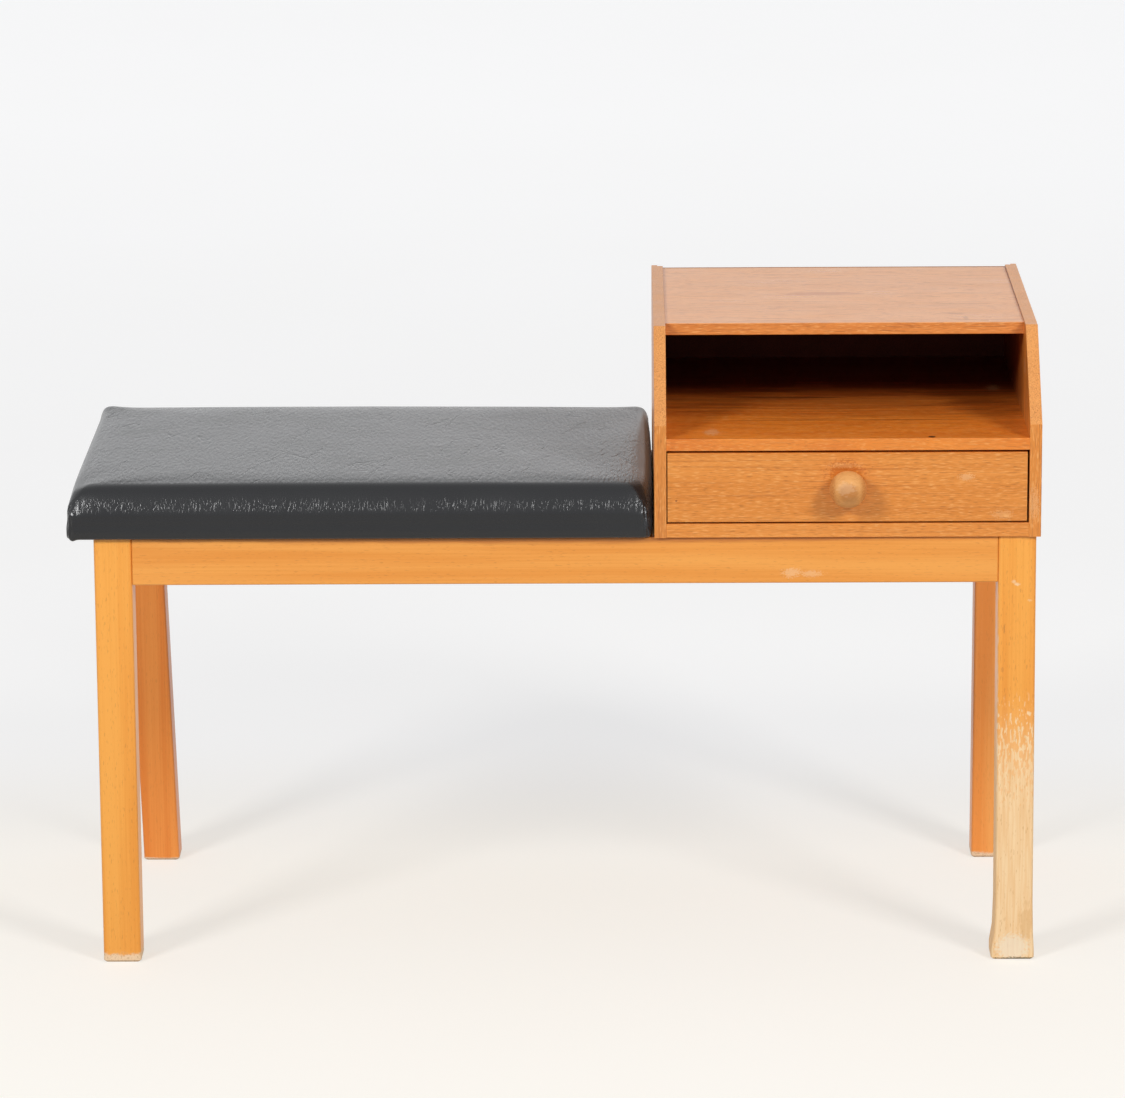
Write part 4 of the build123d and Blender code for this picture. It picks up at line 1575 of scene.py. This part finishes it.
@dataclass
class Drawer:
    """Drawer box with its dovetails, its veneered front, its knob and its pins."""

    frame: dict[str, Any]
    pin_count: int = 4
    pin_inset: float = 30.0
    pin_sink: float = 0.02

    def front(self) -> None:
        """Dress the front, with grime round the knob, and the knob, whose light and shade are
        partly painted.
        """
        speck = (1.2, 1.2, 1.2)
        marks = (
            Mark((287.0, -184.0, 503.0), (21.0, 9.0, 12.0), "#B85C16", 0.6, (3.0, 3.0, 2.2), 2.6),
            Mark((286.0, -184.0, 509.0), (18.0, 9.0, 3.0), "#F6C88A", 0.22, speck, 3.2),
            Mark((406.0, -184.0, 497.0), (8.0, 9.0, 4.0), "#F4CFA0", 0.3, speck, 3.2),
            Mark((441.0, -184.0, 459.0), (12.0, 9.0, 5.0), "#F0C48E", 0.22, (1.6, 1.6, 1.4), 3.0),
            Mark((120.6, -184.0, 474.0), (1.3, 9.0, 1.3), "#8A4A1C", 0.8, (2.0, 2.0, 2.0), 0.2),
        )
        # Painted light and shade on the knob: a darker middle that leaves the rim lighter against
        # its shading, a painted highlight at the upper left and painted shade at the bottom.
        painted_knob_light = (
            Mark((288.7, -221.0, 488.5), (15.5, 11.0, 15.5), "#B5702E", 0.7, (3.0, 3.0, 3.0), 0.3),
            Mark((284.0, -219.0, 494.0), (14.0, 8.0, 10.0), "#E8C7A0", 0.22, (4.0, 4.0, 2.4), 1.8),
            Mark((293.0, -219.0, 480.0), (12.0, 8.0, 7.0), "#B27C48", 0.28, (2.4, 2.4, 2.0), 1.6),
        )
        dress(self.frame, {
            "drawer_front": TeakVeneer(
                "teak_drawer_front", Grain.X, 53.0, "#E5913D", "#D8822E", marks=marks
            ),
            "drawer_knob": HoneyBeech(
                "turned_beech_knob", Grain.X, 2.0, "#E4A45E", "#D4904A", roughness=0.62,
                marks=painted_knob_light,
            ),
            "knob_screw": ZincedSteel("zinced_steel_knob_screw"),
        })

    def box(self) -> None:
        """Dress the box."""
        waxed = ("#EACB9C", "#DBB27F", 0.5)
        dress(self.frame, {
            "drawer_left_side": BareBeech("waxed_beech_drawer_left_side", Grain.Y, 4.0, *waxed),
            "drawer_right_side": BareBeech("waxed_beech_drawer_right_side", Grain.Y, 14.0, *waxed),
            "drawer_back": BareBeech("waxed_beech_drawer_back", Grain.X, 24.0, *waxed),
            "drawer_bottom": Hardboard("hardboard_drawer_bottom", "#9A6A42", "#7C4F2E"),
        })

    def pins(self) -> None:
        """Add the pins that hold the bottom under the drawer's back."""
        low, high = (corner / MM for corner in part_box("drawer_back"))
        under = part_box("drawer_bottom")[0].z / MM
        head = [(1.7, 0.0), (1.7, 0.2), (1.2, 0.45), (0.4, 0.55)]
        width = high.x - low.x - 2 * self.pin_inset
        parts = []
        for k in range(self.pin_count):
            x = low.x + self.pin_inset + width * k / (self.pin_count - 1)
            place = Vector((x, (low.y + high.y) / 2, under + self.pin_sink)) * MM
            parts.append(pin_head(head, place, Vector((0, 0, -1))))
        add_fasteners("drawer_bottom_pins", parts, "zinced_steel_drawer_pins", "drawer")

    def build(self) -> None:
        """Dress every piece of the drawer."""
        self.front()
        self.box()
        self.pins()


# ---- Studio and camera ---------------------------------------------------------------


@dataclass(frozen=True)
class WhitePaper(Finish):
    """Seamless white paper, matt, as photographers roll it out.

    Camera, gloss and transmission rays see it lifted towards plain white, which
    keeps the shadows on it faint.  Light that bounces off it is left as it is.
    """

    name: str = "seamless_white_paper"
    colour: str = "#AEACA9"
    bounced: str = "#C4C3C1"
    front_lift: float = 0.58
    back_lift: float = 0.63
    far_lift: float = 0.74

    def paint(self, recipe: Recipe) -> None:
        """Add the nodes: faint clouds, lifted more towards the back.

        Args:
            recipe: the material being made.
        """
        seen = seen_share(recipe.tree)
        tint = recipe.lay(self.colour, ("#A9A6A1", recipe.figure((600.0, 600.0, 600.0), 1.0)))
        depth = recipe.add("SeparateXYZ", {0: recipe.place}, "Y")
        climb = recipe.share(depth, 0.1, 0.7)
        far = recipe.share(depth, 0.8, 5.5, self.far_lift - self.back_lift)
        rise = (climb, self.back_lift - self.front_lift)
        lift = recipe.weigh(rise, (far, 1.0), base=self.front_lift)
        recipe.done({
            "Base Color": recipe.lay(self.bounced, (tint, seen)),
            "Roughness": 0.75,
            "Specular IOR Level": 0.15,
            "Emission Color": recipe.lay("#FDFAF3", ("#FAFBFD", climb)),
            "Emission Strength": recipe.weigh((seen, lift)),
        })


@dataclass
class Studio:
    """White paper floor, two soft lamps in front of the bench and a pale room.

    Its sizes are in metres and its lamps' power is in watts.
    """

    floor_reach: float = 30.0
    side_level: float = 0.14
    overhead_level: float = 0.55
    seen_level: float = 1.0
    room_colour: str = "#F4F5F7"
    lamp_place: Triple = (2.7, -3.4, 3.0)
    lamp_aim: Triple = (0.0, 0.0, 0.35)
    lamp_size: float = 1.1
    lamp_power: float = 109.0

    def floor(self) -> None:
        """Add the floor."""
        reach = self.floor_reach
        mesh = bpy.data.meshes.new("paper_floor")
        signs = ((-1, -1), (1, -1), (1, 1), (-1, 1))
        mesh.from_pydata([(x * reach, y * reach, 0.0) for x, y in signs], [], [(0, 1, 2, 3)])
        mesh.materials.append(WhitePaper().build())
        add_object("paper_floor", mesh)

    def lamps(self) -> None:
        """Add a soft lamp at each side of the camera."""
        for side, name in ((-1, "left_softbox"), (1, "right_softbox")):
            lamp = bpy.data.lights.new(name, "AREA")
            lamp.shape = "SQUARE"
            lamp.size = self.lamp_size
            lamp.energy = self.lamp_power
            holder = add_object(name, lamp)
            holder.location = (side * self.lamp_place[0], *self.lamp_place[1:])
            aim = Vector(self.lamp_aim) - holder.location
            holder.rotation_euler = aim.to_track_quat("-Z", "Y").to_euler()

    def room(self) -> None:
        """Add the pale room, which lights from overhead and shows white in gloss."""
        world = bpy.data.worlds.new("pale_room")
        bpy.context.scene.world = world
        world.use_nodes = True
        tree = world.node_tree
        ways = add_node(tree, "TexCoord", out="Generated")
        climb = {
            "Value": add_node(tree, "SeparateXYZ", {0: ways}, "Z"),
            "From Min": 0.1,
            "From Max": 0.9,
            "To Min": self.side_level,
            "To Max": self.overhead_level,
        }
        overhead = add_node(tree, "MapRange", climb, interpolation_type="SMOOTHSTEP")
        ends = {"Value": seen_share(tree), "To Min": overhead, "To Max": self.seen_level}
        background = tree.nodes["Background"].inputs
        fill(tree, background["Color"], self.room_colour)
        fill(tree, background["Strength"], add_node(tree, "MapRange", ends))

    def build(self) -> None:
        """Add the whole studio."""
        self.floor()
        self.lamps()
        self.room()


@dataclass
class PhotoCamera:
    """Camera at the photograph's viewing angle, from a fit to the bench's edges.

    Its offset is in metres from the middle of the frame's front edge on the floor.
    """

    offset: Triple = (0.05348, -5.5852, 1.77033)
    lens: float = 186.435
    sensor: float = 36.0
    right: Triple = (0.99994594, 0.00850734, -0.00597857)
    down: Triple = (-0.00381984, -0.23421985, -0.97217615)
    ahead: Triple = (-0.00967093, 0.97214643, -0.23417469)

    def build(self) -> None:
        """Add the camera and make it the scene's."""
        low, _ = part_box("leg_front_left")
        _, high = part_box("right_end_rail")
        origin = Vector(((low.x + high.x) / 2, low.y, 0.0))
        data = bpy.data.cameras.new("photo_camera")
        data.lens = self.lens
        data.sensor_width = self.sensor
        data.sensor_fit = "HORIZONTAL"
        camera = add_object("photo_camera", data)
        columns = (Vector(self.right), -Vector(self.down), -Vector(self.ahead))
        turn = Matrix(columns).transposed().to_4x4()
        camera.matrix_world = Matrix.Translation(origin + Vector(self.offset)) @ turn
        bpy.context.scene.camera = camera


def main() -> None:
    """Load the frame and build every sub-assembly in order."""
    logging.basicConfig(level=logging.INFO, format="%(message)s")
    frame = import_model()
    for assembly in (BeechFrame(frame), Cushion(frame), Cabinet(frame), Drawer(frame)):
        assembly.build()
        LOG.info("built %s", type(assembly).__name__)
    Studio().build()
    PhotoCamera().build()
    bpy.context.scene.view_settings.view_transform = "Standard"


if __name__ == "__main__":
    main()
